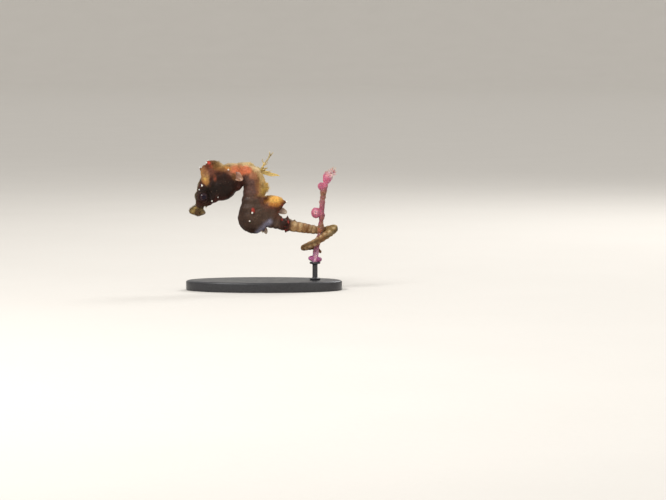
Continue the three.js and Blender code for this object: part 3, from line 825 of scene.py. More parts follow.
def tail_colour(points, s, side, ragged):
    count = ring_count(s)
    wave = 0.5 + 0.5 * np.cos(2 * math.pi * (count - 0.5))
    colours = filled(GREY_BROWN, points)
    gold = smoothstep(1.2, 1.5, points[:, 0] + 0.5 * ragged) * smoothstep(line.vent, line.vent + 0.5, s)
    paint(colours, TAIL_GOLD, gold)
    paint(colours, TAIL_BROWN, 0.55 * gold * (1 - wave) * smoothstep(-0.3, 0.3, ragged + 0.1))
    held = s - line.grip
    paint(colours, LOOP_OLIVE, 0.85 * bell(held, 1.0, 0.6))
    paint(colours, RED_BROWN, 0.5 * bell(held, 1.9, 0.4) * smoothstep(-0.3, 0.2, ragged + 0.1))
    paint(colours, LOOP_BROWN, 0.85 * smoothstep(2.3, 2.9, held + ragged))
    paint(colours, DARK_OLIVE, 0.85 * gold * bell(side, 0, 0.38))
    paint(colours, TAIL_BROWN, 0.55 * gold * bell(np.sin(count * 2 * math.pi / 5.3), 1, 0.5))
    paint(colours, CREAM, 0.5 * gold * wave * bell(side, 1.0, 0.35))
    return colours


def skin_colour(points):
    """The linear colour of the skin at each point."""
    s, phi, _ = line.locate(points)
    side = np.abs(phi)
    ragged = 0.16 * noise_a(points, 0.35) + 0.12 * noise_b(points, 0.14) + 0.06 * noise_c(points, 0.06)
    on_tail = smoothstep(line.vent - 0.3, line.vent + 0.2, s)[:, None]
    colours = neck_colour(points, side, ragged) * (1 - on_tail)
    colours += tail_colour(points, s, side, ragged) * on_tail
    x, _, z = points.T
    add_patches(colours, x, z, ragged, BODY_PATCHES)
    # A painted lavender sheen along the fold between belly and tail, standing in for a reflection.
    sheen_on_fold = bell(near_segment(x, z, (0.3, 3.45), (-0.3, 2.9)), 0, 0.12)
    paint(colours, PAINTED_SHEEN_LAVENDER, 0.9 * sheen_on_fold * (1 + ragged))
    on_head = (1 - smoothstep(line.neck - 0.12, line.neck + 0.12, s + 0.5 * ragged))[:, None]
    colours = colours * (1 - on_head) + head_colour(points, ragged) * on_head
    # White tips: partly the spines' own white and partly painted glints, mostly on the head's spines.
    for root, tip, _, white in SPINES:
        if white:
            reach = distance_to(tip, points)
            length = np.linalg.norm(tip - root)
            paint(colours, WHITE, 1 - smoothstep(0.2 * length, 0.42 * length, reach))
    colours *= (1 + 0.22 * noise_b(points, 0.22) + 0.12 * noise_c(points, 0.09))[:, None]
    return np.clip(colours, 0.004, 0.9)


# ---- Materials ----
class Look:
    """A principled material with short ways to add nodes. Textures run on the object's own coordinates."""

    def __init__(self, name, roughness=0.5, **sockets):
        self.material = bpy.data.materials.new(name)
        self.material.use_nodes = True
        self.tree = self.material.node_tree
        self.shader = self.tree.nodes["Principled BSDF"]
        self.place = self.tree.nodes.new("ShaderNodeTexCoord").outputs["Object"]
        self.shader.inputs["Roughness"].default_value = roughness
        for socket, value in sockets.items():
            self.shader.inputs[socket.replace("_", " ")].default_value = value

    def link(self, source, target):
        self.tree.links.new(source, target)

    def tone(self):
        node = self.tree.nodes.new("ShaderNodeAttribute")
        node.attribute_name = "tone"
        return node.outputs["Color"]

    def noise(self, wavelength, detail=3.0):
        """Noise with features of the given size in millimetres."""
        node = self.tree.nodes.new("ShaderNodeTexNoise")
        node.inputs["Scale"].default_value = 1 / (wavelength * MM)
        node.inputs["Detail"].default_value = detail
        self.link(self.place, node.inputs["Vector"])
        return node.outputs["Fac"]

    def cells(self, size):
        """The distance to the nearest of many scattered points, as a share of the cell size."""
        node = self.tree.nodes.new("ShaderNodeTexVoronoi")
        node.inputs["Scale"].default_value = 1 / (size * MM)
        self.link(self.place, node.inputs["Vector"])
        return node.outputs["Distance"]

    def span(self, value, low, high, to_low=0.0, to_high=1.0):
        node = self.tree.nodes.new("ShaderNodeMapRange")
        node.interpolation_type = "SMOOTHSTEP"
        self.link(value, node.inputs["Value"])
        limits = {"From Min": low, "From Max": high, "To Min": to_low, "To Max": to_high}
        for socket, number in limits.items():
            node.inputs[socket].default_value = number
        return node.outputs["Result"]

    def product(self, a, b):
        node = self.tree.nodes.new("ShaderNodeMath")
        node.operation = "MULTIPLY"
        self.link(a, node.inputs[0])
        self.link(b, node.inputs[1])
        return node.outputs[0]

    def mix(self, share, under, over, mode="MIX"):
        """Lays a colour, given or from a node, over another."""
        node = self.tree.nodes.new("ShaderNodeMix")
        node.data_type, node.blend_type = "RGBA", mode
        for socket, value in zip(("Factor_Float", "A_Color", "B_Color"), (share, under, over)):
            target = next(i for i in node.inputs if i.identifier == socket)
            if isinstance(value, bpy.types.NodeSocket):
                self.link(value, target)
            else:
                target.default_value = value if socket == "Factor_Float" else (*value, 1)
        return next(o for o in node.outputs if o.identifier == "Result_Color")

    def mottled(self, share, dark, pale):
        """The stored tone, times dark or pale as the share goes from 0 to 1."""
        return self.mix(1.0, self.tone(), self.mix(share, dark, pale), "MULTIPLY")

    def bump(self, height, distance, under=None):
        """A bump of the given depth in millimetres."""
        node = self.tree.nodes.new("ShaderNodeBump")
        node.inputs["Distance"].default_value = distance * MM
        self.link(height, node.inputs["Height"])
        if under is not None:
            self.link(under, node.inputs["Normal"])
        return node.outputs["Normal"]

    def finish(self, colour, normal=None, roughness=None):
        self.link(colour, self.shader.inputs["Base Color"])
        if normal is not None:
            self.link(normal, self.shader.inputs["Normal"])
        if roughness is not None:
            self.link(roughness, self.shader.inputs["Roughness"])
        return self.material


def skin_material():
    look = Look("moist skin", Subsurface_Weight=0.15, Subsurface_Scale=0.08 * MM, Coat_Weight=0.03)
    look.shader.inputs["Subsurface Radius"].default_value = (1.0, 0.4, 0.2)
    look.shader.inputs["Coat Roughness"].default_value = 0.2
    look.shader.inputs["Specular IOR Level"].default_value = 0.12
    fine = look.noise(0.06, 4.0)
    colour = look.mottled(look.span(fine, 0.3, 0.7), (0.8,) * 3, (1.2,) * 3)
    patchy = look.span(look.noise(0.4, 2.0), 0.5, 0.66)
    flecks = look.product(look.span(look.cells(0.1), 0.22, 0.1), patchy)
    colour = look.mix(look.product(flecks, look.span(fine, 0.2, 0.6, 0.05, 0.35)), colour, FLECK)
    patchy = look.span(look.noise(0.3, 2.0), 0.42, 0.6)
    pepper = look.product(look.span(look.cells(0.055), 0.3, 0.16), patchy)
    colour = look.mix(look.span(pepper, 0.0, 1.0, 0.0, 0.2), colour, PEPPER)
    folds = look.bump(look.noise(0.035, 3.0), 0.006)
    normal = look.bump(look.span(look.cells(0.045), 0.0, 0.6), 0.004, folds)
    return look.finish(colour, normal, look.span(look.noise(0.12), 0.3, 0.7, 0.48, 0.7))


def make_skin():
    points, quads = skin_field().surface()
    mesh = make_mesh("skin", points, quads)
    set_tone(mesh, skin_colour(points))
    add_piece("skin", mesh, skin_material(), FLESH)
    return points, point_normals(mesh)


# ---- Eyes ----
PUPIL = 0.42  # radians from the eye's axis
IRIS = 1.0
IRIS_BROWN = (0.022, 0.010, 0.012)
IRIS_RAY = (0.060, 0.036, 0.045)
PUPIL_VIOLET = (0.006, 0.002, 0.009)


def side_axes(direction):
    """Two directions square to the given one and to each other."""
    across = unit(np.cross(direction, (0.0, 0.0, 1.0)))
    return across, np.cross(across, direction)


def eye_colour(open_angle, turn):
    colours = filled(IRIS_BROWN, open_angle)
    rays = 0.5 + 0.5 * np.cos(13 * turn + 1.5 * np.sin(3 * turn))
    paint(colours, IRIS_RAY, 0.5 * smoothstep(0.62, 1.0, rays) * smoothstep(PUPIL, IRIS, open_angle))
    paint(colours, RED_BROWN, 0.15 * bell(open_angle, PUPIL + 0.1, 0.06))
    paint(colours, IRIS_RAY, 0.6 * bell(open_angle, 0.88, 0.05))
    paint(colours, BLACK, 0.8 * smoothstep(IRIS, IRIS + 0.2, open_angle))
    paint(colours, PUPIL_VIOLET, 1 - smoothstep(PUPIL - 0.05, PUPIL + 0.04, open_angle))
    return colours


def make_eye(name, side, material):
    rings, around = 40, 64
    angle = np.linspace(0.02, math.pi - 0.02, rings)
    turn = turns(around)
    angle_grid, turn_grid = np.meshgrid(angle, turn, indexing="ij")
    radius = EYEBALL * (1 + 0.05 * bell(angle_grid, 0, 0.5))
    looks = eye_direction(side)
    across, up = side_axes(looks)
    out = np.cos(angle_grid)[..., None] * looks + np.sin(angle_grid)[..., None] * (
        np.cos(turn_grid)[..., None] * across + np.sin(turn_grid)[..., None] * up
    )
    points = (eye_centre(side) + radius[..., None] * out).reshape(-1, 3)
    mesh = tube_mesh(name, points, rings, around)
    set_tone(mesh, np.vstack([eye_colour(angle_grid.ravel(), turn_grid.ravel()), PUPIL_VIOLET, BLACK]))
    add_piece(name + "_ball", mesh, material, [name])


def eye_material():
    look = Look("wet eye", roughness=0.15, Coat_Weight=0.2, Coat_Roughness=0.03)
    look.shader.inputs["Specular IOR Level"].default_value = 0.1
    return look.finish(look.mottled(look.span(look.noise(0.03, 3.0), 0.3, 0.7), (0.75,) * 3, (1.3,) * 3))


# ---- Fins, flaps and the nape's thread ----
FIN_PINK = (0.36, 0.19, 0.115)
FIN_GREY = (0.42, 0.34, 0.26)


def slab(grid, normal, thickness):
    """The points and quads of a thin closed sheet round a grid of points, with its thickness at each one."""
    rows, columns = grid.shape[:2]
    half = 0.5 * thickness[..., None] * normal
    points = np.concatenate([(grid + half).reshape(-1, 3), (grid - half).reshape(-1, 3)])
    number = np.arange(rows * columns).reshape(rows, columns)
    sheet = np.stack([number[:-1, :-1], number[:-1, 1:], number[1:, 1:], number[1:, :-1]], axis=-1)
    sheet = sheet.reshape(-1, 4)
    rim = np.concatenate([number[0, :-1], number[:-1, -1], number[-1, :0:-1], number[:0:-1, 0]])
    after, under = np.roll(rim, -1), rows * columns
    edge = np.stack([rim, rim + under, after + under, after], axis=1)
    return points, np.concatenate([sheet, sheet[:, ::-1] + under, edge])


def placed(points, at, yaw, pitch):
    """Turns a shape that points along +X up by pitch and round by yaw, and moves it to its root."""
    x, y, z = np.moveaxis(points, -1, 0)
    x, z = x * math.cos(pitch) - z * math.sin(pitch), x * math.sin(pitch) + z * math.cos(pitch)
    x, y = x * math.cos(yaw) - y * math.sin(yaw), x * math.sin(yaw) + y * math.cos(yaw)
    return np.stack([x, y, z], axis=-1) + np.asarray(at)


def fin(rays, reach, root_half, tip_half):
    """A fin's sheet along +X, its thickness, and how near each point is to a ray and to the edge."""
    out, across = np.meshgrid(np.linspace(0, 1, 30), np.linspace(-1, 1, rays * 8 + 1), indexing="ij")
    ray = 0.5 - 0.5 * np.cos(math.pi * rays * (across + 1))
    half = root_half + (tip_half - root_half) * out**0.8
    length = reach * np.sqrt(1 - 0.85 * across**2) * (1 - 0.02 * (1 - ray) * out**3)
    lift = 0.05 * reach * np.sin(2.2 * out) + 0.035 * reach * out**2 * np.sin(7 * across)
    joints = 1 + 0.2 * np.cos(2 * math.pi * 10 * out)
    thickness = 0.010 + 0.010 * ray**2 * (1 - 0.8 * out) * joints
    return np.stack([out * length, lift, across * half], axis=-1), thickness, ray, out


def make_fin(name, material, rays, size, at, yaw, pitch, in_head=False, *, colours):
    """One fin of the given reach and half widths at root and tip, coloured from its root to its edge."""
    grid, thickness, ray, out = fin(rays, *size)
    normal = placed(np.array([0.0, 1.0, 0.0]), (0, 0, 0), yaw, pitch)
    grid = placed(grid, at, yaw, pitch)
    if in_head:
        normal = from_head(normal)[0] - HEAD_ORIGIN
        grid = from_head(grid.reshape(-1, 3)).reshape(grid.shape)
    mesh = make_mesh(name, *slab(grid, normal, thickness))
    root, tip = np.array(colours)
    tone = root + (tip - root) * out[..., None] ** 1.2
    tone = tone * (1.05 - 0.18 * ray[..., None] ** 2)
    set_tone(mesh, np.tile(tone.reshape(-1, 3), (2, 1)))
    add_piece(name + "_web", mesh, material, [name])


def fin_material():
    look = Look("fin web", roughness=0.4, Coat_Weight=0.15, Coat_Roughness=0.2)
    colour = look.mottled(look.span(look.noise(0.05, 3.0), 0.3, 0.7), (0.75,) * 3, (1.2,) * 3)
    return look.finish(colour, look.bump(look.noise(0.03), 0.003))


def make_fins():
    material = fin_material()
    pinks = (RED_BROWN, FIN_PINK)
    for name, side in [("pectoral_fin_left", -1), ("pectoral_fin_right", 1)]:
        at = (-0.56, 0.36 * side, 0.0)
        make_fin(name, material, 11, (0.58, 0.1, 0.22), at, 0.6 * side, -0.6, True, colours=pinks)
    browns = (SIDE_BROWN, FIN_GREY)
    make_fin("dorsal_fin", material, 12, (0.46, 0.19, 0.17), (0.73, 0, 4.02), 0, -0.35, colours=browns)
    make_fin("anal_fin", material, 4, (0.34, 0.08, 0.12), (0.02, 0, 3.12), 0, -1.25, colours=browns)


LEAVES = [  # length, half width, yaw, pitch
    (0.98, 0.1, -0.08, -0.1),
    (0.74, 0.085, 0.1, 0.2),
    (0.42, 0.07, -0.12, 0.75),
    (0.3, 0.05, 0.35, 1.2),
]


def make_flap():
    """The leaf-like skin flaps behind the nape, each with a midrib and a soft twist."""
    leaves, tones = [], []
    for k, (length, width, yaw, pitch) in enumerate(LEAVES):
        out, across = np.meshgrid(np.linspace(0, 1, 40), np.linspace(-1, 1, 13), indexing="ij")
        half = width * np.sin(math.pi * np.clip(0.06 + 0.94 * out, 0, 1) ** 0.75) ** 0.8 + 0.012 * (1 - out)
        droop = -0.1 * length * out**2 + 0.02 * np.sin(9 * out + k)
        twist = across * half * np.sin(0.7 * out + k)
        grid = np.stack([out * length, twist, across * half * np.cos(0.7 * out + k) + droop], axis=-1)
        thickness = 0.014 + 0.03 * bell(across, 0, 0.2) * (1 - 0.8 * out)
        grid = placed(grid, (-0.14, 0.02 * (k - 1), 5.88), yaw, pitch)
        normal = placed(np.array([0.0, 1.0, 0.0]), (0, 0, 0), yaw, pitch)
        leaves.append(slab(grid, normal, thickness))
        shade = (0.85 + 0.5 * out) * (1 - 0.4 * bell(across, 0, 0.14))
        tone = np.array(OLIVE_GOLD) * shade[..., None]
        tones.append(np.tile(tone.reshape(-1, 3), (2, 1)))
    mesh = make_mesh("nape_flap", *stacked(leaves))
    set_tone(mesh, np.vstack(tones))
    return mesh


THREAD_TIP = (0.27, -0.02, 6.94)
THREAD_VOXEL = 0.012
THREAD = [  # centre lines, each with its radius at the root and at the tip
    ([(-0.24, 0, 5.9), (-0.1, 0, 6.1), (0.02, 0, 6.3), (0.2, -0.02, 6.55), (0.3, -0.04, 6.8), THREAD_TIP],
     0.046, 0.018),
    ([(0.2, -0.02, 6.55), (0.36, 0.04, 6.76), (0.47, 0.06, 6.88)], 0.026, 0.014),
    ([(0.02, 0, 6.3), (-0.08, 0.06, 6.46), (-0.06, 0.1, 6.56)], 0.026, 0.014),
    ([(-0.02, 0, 6.22), (0.12, -0.06, 6.3), (0.2, -0.1, 6.42)], 0.022, 0.013),
    ([(-0.2, 0, 5.92), (-0.22, 0.05, 6.08), (-0.32, 0.08, 6.16)], 0.026, 0.014),
    ([(-0.16, 0, 5.98), (-0.02, -0.08, 6.02), (0.1, -0.12, 6.12)], 0.024, 0.014),
]


def thread_field():
    low, high = node_box("nape_thread")
    field = Field(low - 0.2, high + 0.15, THREAD_VOXEL)
    for places, root, tip in THREAD:
        places = spline(places, 8)
        share = np.linspace(0, 1, len(places))
        radii = (root + (tip - root) * share) * (1 + 0.25 * np.sin(2 * math.pi * share * len(places) / 7))
        for a, b, radius_a, radius_b in zip(places, places[1:], radii, radii[1:]):
            field.join(cone(a, b, radius_a, radius_b), 0.02)
    near, points = field.near_surface(0.04)
    field.values[near] -= 0.008 * noise_a(points, 0.09) + 0.006 * noise_b(points, 0.045)
    return field


def thread_material():
    look = Look("golden filament", roughness=0.45)
    colour = look.mottled(look.span(look.noise(0.07, 4.0), 0.35, 0.7), (0.78, 0.7, 0.6), (1.2, 1.2, 1.15))
    specks = look.span(look.cells(0.09), 0.2, 0.1, 0.0, 0.4)
    return look.finish(look.mix(specks, colour, CREAM), look.bump(look.noise(0.03, 3.0), 0.006))


def make_nape():
    """The branched thread and the flaps that stand up behind the nape."""
    material = thread_material()
    points, quads = thread_field().surface()
    mesh = make_mesh("nape_thread", points, quads)
    colours = filled(OLIVE_GOLD, points)
    paint(colours, THREAD_CREAM, 0.85 * smoothstep(6.05, 6.4, points[:, 2] + 0.3 * noise_b(points, 0.2)))
    paint(colours, WHITE, 0.9 * bell(distance_to(THREAD_TIP, points), 0, 0.05))
    set_tone(mesh, colours * (1 + 0.4 * noise_a(points, 0.15))[:, None])
    add_piece("nape_branches", mesh, material, ["nape_thread"])
    add_piece("nape_leaves", make_flap(), material, ["nape_flap"])


def point_normals(mesh):
    normals = np.empty(3 * len(mesh.vertices), np.float32)
    mesh.vertex_normals.foreach_get("vector", normals)
    return normals.reshape(-1, 3).astype(float)


# ---- Fuzz: fine threads of skin and algae, as solid mesh ----
FUZZ_SIDES, FUZZ_STEPS = 3, 4
PATCH = 0.0015  # half the width of a thread's place on the OFBake map
LOCK_SIZE = 0.16  # how far apart threads lean the same way
LOCK_LEAN, LOCK_BEND = 0.5, 0.4
THREAD_SCATTER, BEND_SCATTER = 0.18, 0.25
ROOT_DEPTH = 0.012  # how deep the threads stand in the skin
TIP_SHARE = (0.25, 0.85)  # how far a thread's tip turns to its coat's own colour


def fuzz_mesh(name, roots, directions, bends, lengths, widths, tones, places):
    """Tapered, bent threads in one mesh. places gives each root's place on the unwrap of its skin."""
    count = len(roots)
    share = np.arange(FUZZ_STEPS) / FUZZ_STEPS
    turn = turns(FUZZ_SIDES)
    across = unit(np.cross(directions, (0.31, 0.83, 0.46)))
    up = np.cross(directions, across)
    ring = np.cos(turn)[None, :, None] * across[:, None] + np.sin(turn)[None, :, None] * up[:, None]
    run = directions[:, None] * share[None, :, None] + bends[:, None] * share[None, :, None] ** 2
    centre = roots[:, None] + lengths[:, None, None] * run
    size = widths[:, None] * (1 - share[None]) ** 0.6
    rings = centre[:, :, None] + size[:, :, None, None] * ring[:, None]
    tips = roots + lengths[:, None] * (directions + bends)
    per = FUZZ_STEPS * FUZZ_SIDES + 1
    points = np.concatenate([rings.reshape(count, -1, 3), tips[:, None]], axis=1).reshape(-1, 3)
    quads = ring_quads(FUZZ_STEPS, FUZZ_SIDES).reshape(1, -1, 4)
    tip_fan = fan(FUZZ_SIDES, (FUZZ_STEPS - 1) * FUZZ_SIDES, per - 1)
    triangles = np.vstack([tip_fan, np.arange(FUZZ_SIDES)[::-1]])
    first = per * np.arange(count)[:, None, None]
    mesh = make_mesh(name, points, quads + first, triangles[None] + first)
    along = np.append(np.repeat(share, FUZZ_SIDES), 1.0)
    root_tone, tip_tone = tones
    tone = root_tone[:, None] + (tip_tone - root_tone)[:, None] * along[None, :, None]
    set_tone(mesh, tone.reshape(-1, 3))
    circle = np.append(np.tile(turn, FUZZ_STEPS), 0.0)
    spread = PATCH * (1 - along) * np.stack([np.cos(circle), np.sin(circle)])
    map_points = (places[:, None] + spread.T[None]).reshape(-1, 2)
    corners = np.empty(len(mesh.loops), np.int32)
    mesh.loops.foreach_get("vertex_index", corners)
    uv = mesh.uv_layers.new(name="OFBake")
    uv.data.foreach_set("uv", map_points[corners].astype(np.float32).ravel())
    return mesh


def fuzz_material():
    look = Look("skin fuzz", roughness=0.6)
    return look.finish(look.mottled(look.span(look.noise(0.05), 0.35, 0.65), (0.8,) * 3, (1.15,) * 3))


def clear_of_spines(points):
    """0 at the white tips of the spines, where no fuzz grows, and 1 away from them."""
    clear = np.ones(len(points))
    for root, tip, _, white in SPINES:
        if white:
            reach = distance_to(tip, points)
            clear *= smoothstep(0.5, 0.9, reach / np.linalg.norm(tip - root))
    return clear


def grow_fuzz(name, skin, weight, material, seed):
    """One coat on the skin, thickest where weight is high. Neighbours lean the same way, in small locks."""
    coat = COATS[name]
    points, normals = skin
    rng = np.random.default_rng(SEED + seed)
    chosen = rng.choice(len(points), coat.threads, p=weight / weight.sum())
    out = normals[chosen]
    roots = points[chosen] + np.cross(out, rng.uniform(-VOXEL, VOXEL, out.shape))
    s, phi, _ = line.locate(roots)
    along = line.along[np.clip(np.searchsorted(line.s, s), 0, len(line.s) - 1)]
    locks = np.stack([noise(roots, LOCK_SIZE) for noise in (noise_a, noise_b, noise_c)], axis=1)
    way = coat.stand * out + (1 - coat.stand) * along + LOCK_LEAN * locks
    way = unit(way + rng.normal(0, THREAD_SCATTER, roots.shape))
    bends = 0.3 * along + LOCK_BEND * locks + rng.normal(0, BEND_SCATTER, roots.shape)
    lengths = rng.uniform(coat.shortest, coat.longest, coat.threads) * (1 + 0.6 * noise_b(roots, 0.22))
    lengths *= 0.4 + 0.6 * weight[chosen] / weight.max()
    widths = coat.radius * rng.uniform(0.7, 1.2, coat.threads)
    base = skin_colour(roots)
    tips = base + (np.array(coat.tip) - base) * rng.uniform(*TIP_SHARE, coat.threads)[:, None]
    places = np.stack([phi / (2 * math.pi) + 0.5, s / line.tip], axis=1)
    tones = (0.6 * base + 0.4 * tips, tips)
    mesh = fuzz_mesh(name, roots - ROOT_DEPTH * out, way, bends, lengths, widths, tones, places)
    add_piece(name, mesh, material)


def make_fuzz(skin, material):
    points, _ = skin
    s, phi, _ = line.locate(points)
    patchy = (0.3 + 0.7 * smoothstep(-0.3, 0.4, noise_a(points, 0.3))) * clear_of_spines(points)
    for seed, (name, thickness) in enumerate(coat_regions(points, s, phi).items()):
        grow_fuzz(name, skin, patchy * thickness, material, seed)


# ---- The alga stem ----
PERCH_VOXEL = 0.016
PERCH_THREADS = 5000
PERCH_LENGTHS = (0.015, 0.05)
PERCH_WIDTHS = (0.002, 0.0035)
PINK_STEM = (0.50, 0.115, 0.20)
MAUVE = (0.30, 0.075, 0.12)
BUD_PINK = (0.50, 0.125, 0.215)
MAGENTA = (0.47, 0.20, 0.36)
STEM_BROWN = (0.20, 0.085, 0.035)
RUST = (0.34, 0.09, 0.035)
DEEP_MAGENTA = (0.30, 0.045, 0.17)
PALE_PINK = (0.74, 0.52, 0.53)
CHALK = (0.78, 0.62, 0.60)
STEM_BUDS = [  # centre, half sizes, tilt
    ((2.6, -0.06, 3.86), (0.24, 0.23, 0.26), 0.0),
    ((2.86, -0.05, 5.2), (0.16, 0.16, 0.19), 0.2),
    ((3.2, 0.0, 5.66), (0.23, 0.21, 0.34), 0.45),
    ((2.36, 0.0, 1.58), (0.17, 0.15, 0.14), 0.3),
    ((2.74, -0.05, 1.53), (0.15, 0.15, 0.12), 0.0),
]
STEM_TIPS = [  # the crown's filaments: where each ends
    (3.22, 0.05, 6.05),
    (3.32, -0.1, 6.1),
    (3.38, 0.1, 6.12),
    (3.46, -0.02, 6.16),
    (3.58, -0.08, 6.1),
    (3.62, 0.1, 6.04),
    (3.68, -0.02, 5.94),
    (3.66, -0.06, 5.78),
    (3.56, 0.08, 5.7),
]
STEM_CROWN = (3.34, 0.0, 5.8)
STEM_PORE = (2.58, -0.33, 3.9)  # the hollow in the large bud's near side


def egg(centre, half, tilt):
    """The distance, near enough, to an ellipsoid leaning towards +X by tilt."""
    centre, half = np.asarray(centre), np.asarray(half)

    def distance(x, y, z):
        dx, dy, dz = x - centre[0], y - centre[1], z - centre[2]
        px = (dx * math.cos(tilt) - dz * math.sin(tilt)) / half[0]
        pz = (dx * math.sin(tilt) + dz * math.cos(tilt)) / half[2]
        reach = np.sqrt(px**2 + (dy / half[1]) ** 2 + pz**2)
        return (reach - 1) * half.min()

    return distance, centre - half.max(), centre + half.max()


def perch_field():
    low, high = node_box("perch")
    field = Field(low - 0.12, high + 0.12, PERCH_VOXEL)
    height = stem_points[:, 2]
    radii = STEM_RADIUS * (0.86 + 0.1 * np.cos(2 * math.pi * height / 0.62) + 0.05 * np.cos(height * 23))
    core = np.count_nonzero(height < STEM_CROWN[2] - 0.1)
    for k in range(0, core - 5, 5):
        field.join(cone(stem_points[k], stem_points[k + 5], radii[k], radii[k + 5]), 0.03)
    for centre, half, tilt in STEM_BUDS:
        field.join(egg(centre, half, tilt), 0.06)
    for tip in STEM_TIPS:
        field.join(cone(STEM_CROWN, tip, 0.05, 0.016), 0.03)
    field.cut(ball(STEM_PORE, 0.07), 0.03)
    near, points = field.near_surface(0.08)
    lumps = 0.018 * noise_a(points, 0.25) + 0.016 * noise_b(points, 0.11) + 0.008 * noise_c(points, 0.05)
    field.values[near] -= lumps
    return field


def stem_colour(points):
    x, y, z = points.T
    ragged = 0.3 * noise_a(points, 0.3) + 0.25 * noise_b(points, 0.12)
    colours = filled(MAUVE, points)
    paint(colours, PINK_STEM, smoothstep(5.0, 5.4, z + ragged))
    brown = bell(z, 4.75, 0.35) + bell(z, 3.1, 0.6) + 0.6 * bell(z, 2.3, 0.3)
    paint(colours, STEM_BROWN, brown * smoothstep(-0.2, 0.25, ragged + 0.12))
    paint(colours, RUST, 0.8 * bell(z, 3.2, 0.4) * smoothstep(-0.1, 0.3, noise_c(points, 0.2) + 0.1))
    paint(colours, MAGENTA, 0.9 * smoothstep(2.15, 1.8, z + 0.4 * ragged))
    streak = bell(np.arctan2(y, x - np.interp(z, stem_points[:, 2], stem_points[:, 0])), -1.5, 0.5)
    paint(colours, PALE_PINK, 0.55 * streak * smoothstep(2.0, 1.7, z))
    for centre, half, _ in STEM_BUDS:
        near = np.linalg.norm((points - centre) / np.array(half), axis=1) + 0.5 * ragged
        paint(colours, BUD_PINK if centre[2] > 2 else DEEP_MAGENTA, 0.9 * (1 - smoothstep(1.0, 1.35, near)))
    pore = distance_to(np.add(STEM_PORE, (0, 0.04, 0)), points)
    paint(colours, PALE_PINK, 0.45 * bell(pore, 0.06, 0.07))
    out = distance_to(STEM_CROWN, points)
    paint(colours, WHITE, 0.8 * bell(out, 0.14, 0.1) * smoothstep(-0.2, 0.3, ragged + 0.15))
    tips = smoothstep(0.2, 0.34, out) * smoothstep(5.6, 5.8, z) * smoothstep(3.0, 3.3, x)
    paint(colours, CREAM, 0.9 * tips)
    return np.clip(colours * (1 + 0.5 * ragged[:, None]), 0.01, 0.9)


def stem_material():
    look = Look("coralline alga", roughness=0.55, Subsurface_Weight=0.3, Subsurface_Scale=0.08 * MM)
    crust = look.span(look.noise(0.05, 4.0), 0.3, 0.7)
    colour = look.mottled(crust, (0.62, 0.55, 0.58), (1.3, 1.25, 1.25))
    patchy = look.span(look.noise(0.35), 0.5, 0.62)
    chalk = look.product(look.span(look.noise(0.07, 5.0), 0.56, 0.68), patchy)
    colour = look.mix(look.span(chalk, 0.0, 1.0, 0.0, 0.55), colour, CHALK)
    normal = look.bump(look.noise(0.03, 3.0), 0.006, look.bump(crust, 0.01))
    return look.finish(colour, normal, look.span(chalk, 0, 1, 0.5, 0.8))


def make_perch(fuzz_look):
    """The stem and the short threads on it, most of them on its brown lengths and its crown."""
    points, quads = perch_field().surface()
    mesh = make_mesh("perch", points, quads)
    set_tone(mesh, stem_colour(points))
    add_piece("alga_stem", mesh, stem_material(), ["perch"])
    normals = point_normals(mesh)
    rng = np.random.default_rng(SEED)
    z = points[:, 2]
    weight = 0.25 + bell(z, 4.75, 0.4) + bell(z, 2.4, 0.4) + 2.0 * smoothstep(5.75, 5.9, z)
    chosen = rng.choice(len(points), PERCH_THREADS, replace=False, p=weight / weight.sum())
    roots, out = points[chosen], normals[chosen]
    way = unit(out + rng.normal(0, 0.35, roots.shape) + (0, 0, 0.3))
    bends = rng.normal(0, BEND_SCATTER, roots.shape)
    lengths = rng.uniform(*PERCH_LENGTHS, len(roots)) * (1 + 0.8 * (roots[:, 2] > 5.8))
    widths = rng.uniform(*PERCH_WIDTHS, len(roots))
    base = stem_colour(roots)
    tones = (0.6 * base + 0.4 * np.array(PALE_PINK), 0.25 * base + 0.75 * np.array(CREAM))
    stem_x = np.interp(roots[:, 2], stem_points[:, 2], stem_points[:, 0])
    turn = np.arctan2(roots[:, 1], roots[:, 0] - stem_x)
    low, high = node_box("perch")
    places = np.stack([turn / (2 * math.pi) + 0.5, (roots[:, 2] - low[2]) / (high[2] - low[2])], axis=1)
    mesh = fuzz_mesh("perch_fuzz", roots - 0.01 * out, way, bends, lengths, widths, tones, places)
    add_piece("perch_fuzz", mesh, fuzz_look)


# ---- The stand ----
PLATE_EDGE, PLATE_FOOT_EDGE = 0.09, 0.04  # how round the plate's edges are
ROD_RADIUS, ROD_FILLET = 0.13, 0.06
FLANGE_THICKNESS, FLANGE_EDGE = 0.1, 0.03
STAND_SOCKET = 0.05  # how far the upper flange stands up round the stem's foot
STAND_BLACK = (0.016, 0.016, 0.018)
STAND_GREY = (0.026, 0.026, 0.029)
DUST = (0.16, 0.155, 0.15)


def turned_mesh(name, centre, profile, around=96, stretch=1.0):
    """A turned solid from (radius, height) pairs, from its underside up, stretched along X."""
    turn = turns(around)
    radius, height = np.array(profile).T
    x = centre[0] + stretch * radius[:, None] * np.cos(turn)
    y = centre[1] + radius[:, None] * np.sin(turn)
    z = np.repeat(height, around)
    points = np.stack([x.ravel(), y.ravel(), z], axis=1)
    return tube_mesh(name, points, len(profile), around)


def arc(radius, height, bend, start, stop, steps=8):
    """Points (radius, height) round a centre, as far out as bend, from one angle to another in degrees."""
    angles = np.radians(np.linspace(start, stop, steps))
    return [(radius + bend * math.cos(a), height + bend * math.sin(a)) for a in angles]


def stand_material():
    look = Look("satin black metal", roughness=0.38, Coat_Weight=0.15, Coat_Roughness=0.3)
    grain = look.noise(0.08, 4.0)
    colour = look.mix(look.span(grain, 0.3, 0.7), STAND_BLACK, STAND_GREY)
    dust = look.span(look.cells(0.35), 0.07, 0.03, 0.0, 0.3)
    colour = look.mix(dust, colour, DUST)
    return look.finish(colour, look.bump(grain, 0.004), look.span(look.noise(0.5), 0.3, 0.7, 0.33, 0.46))


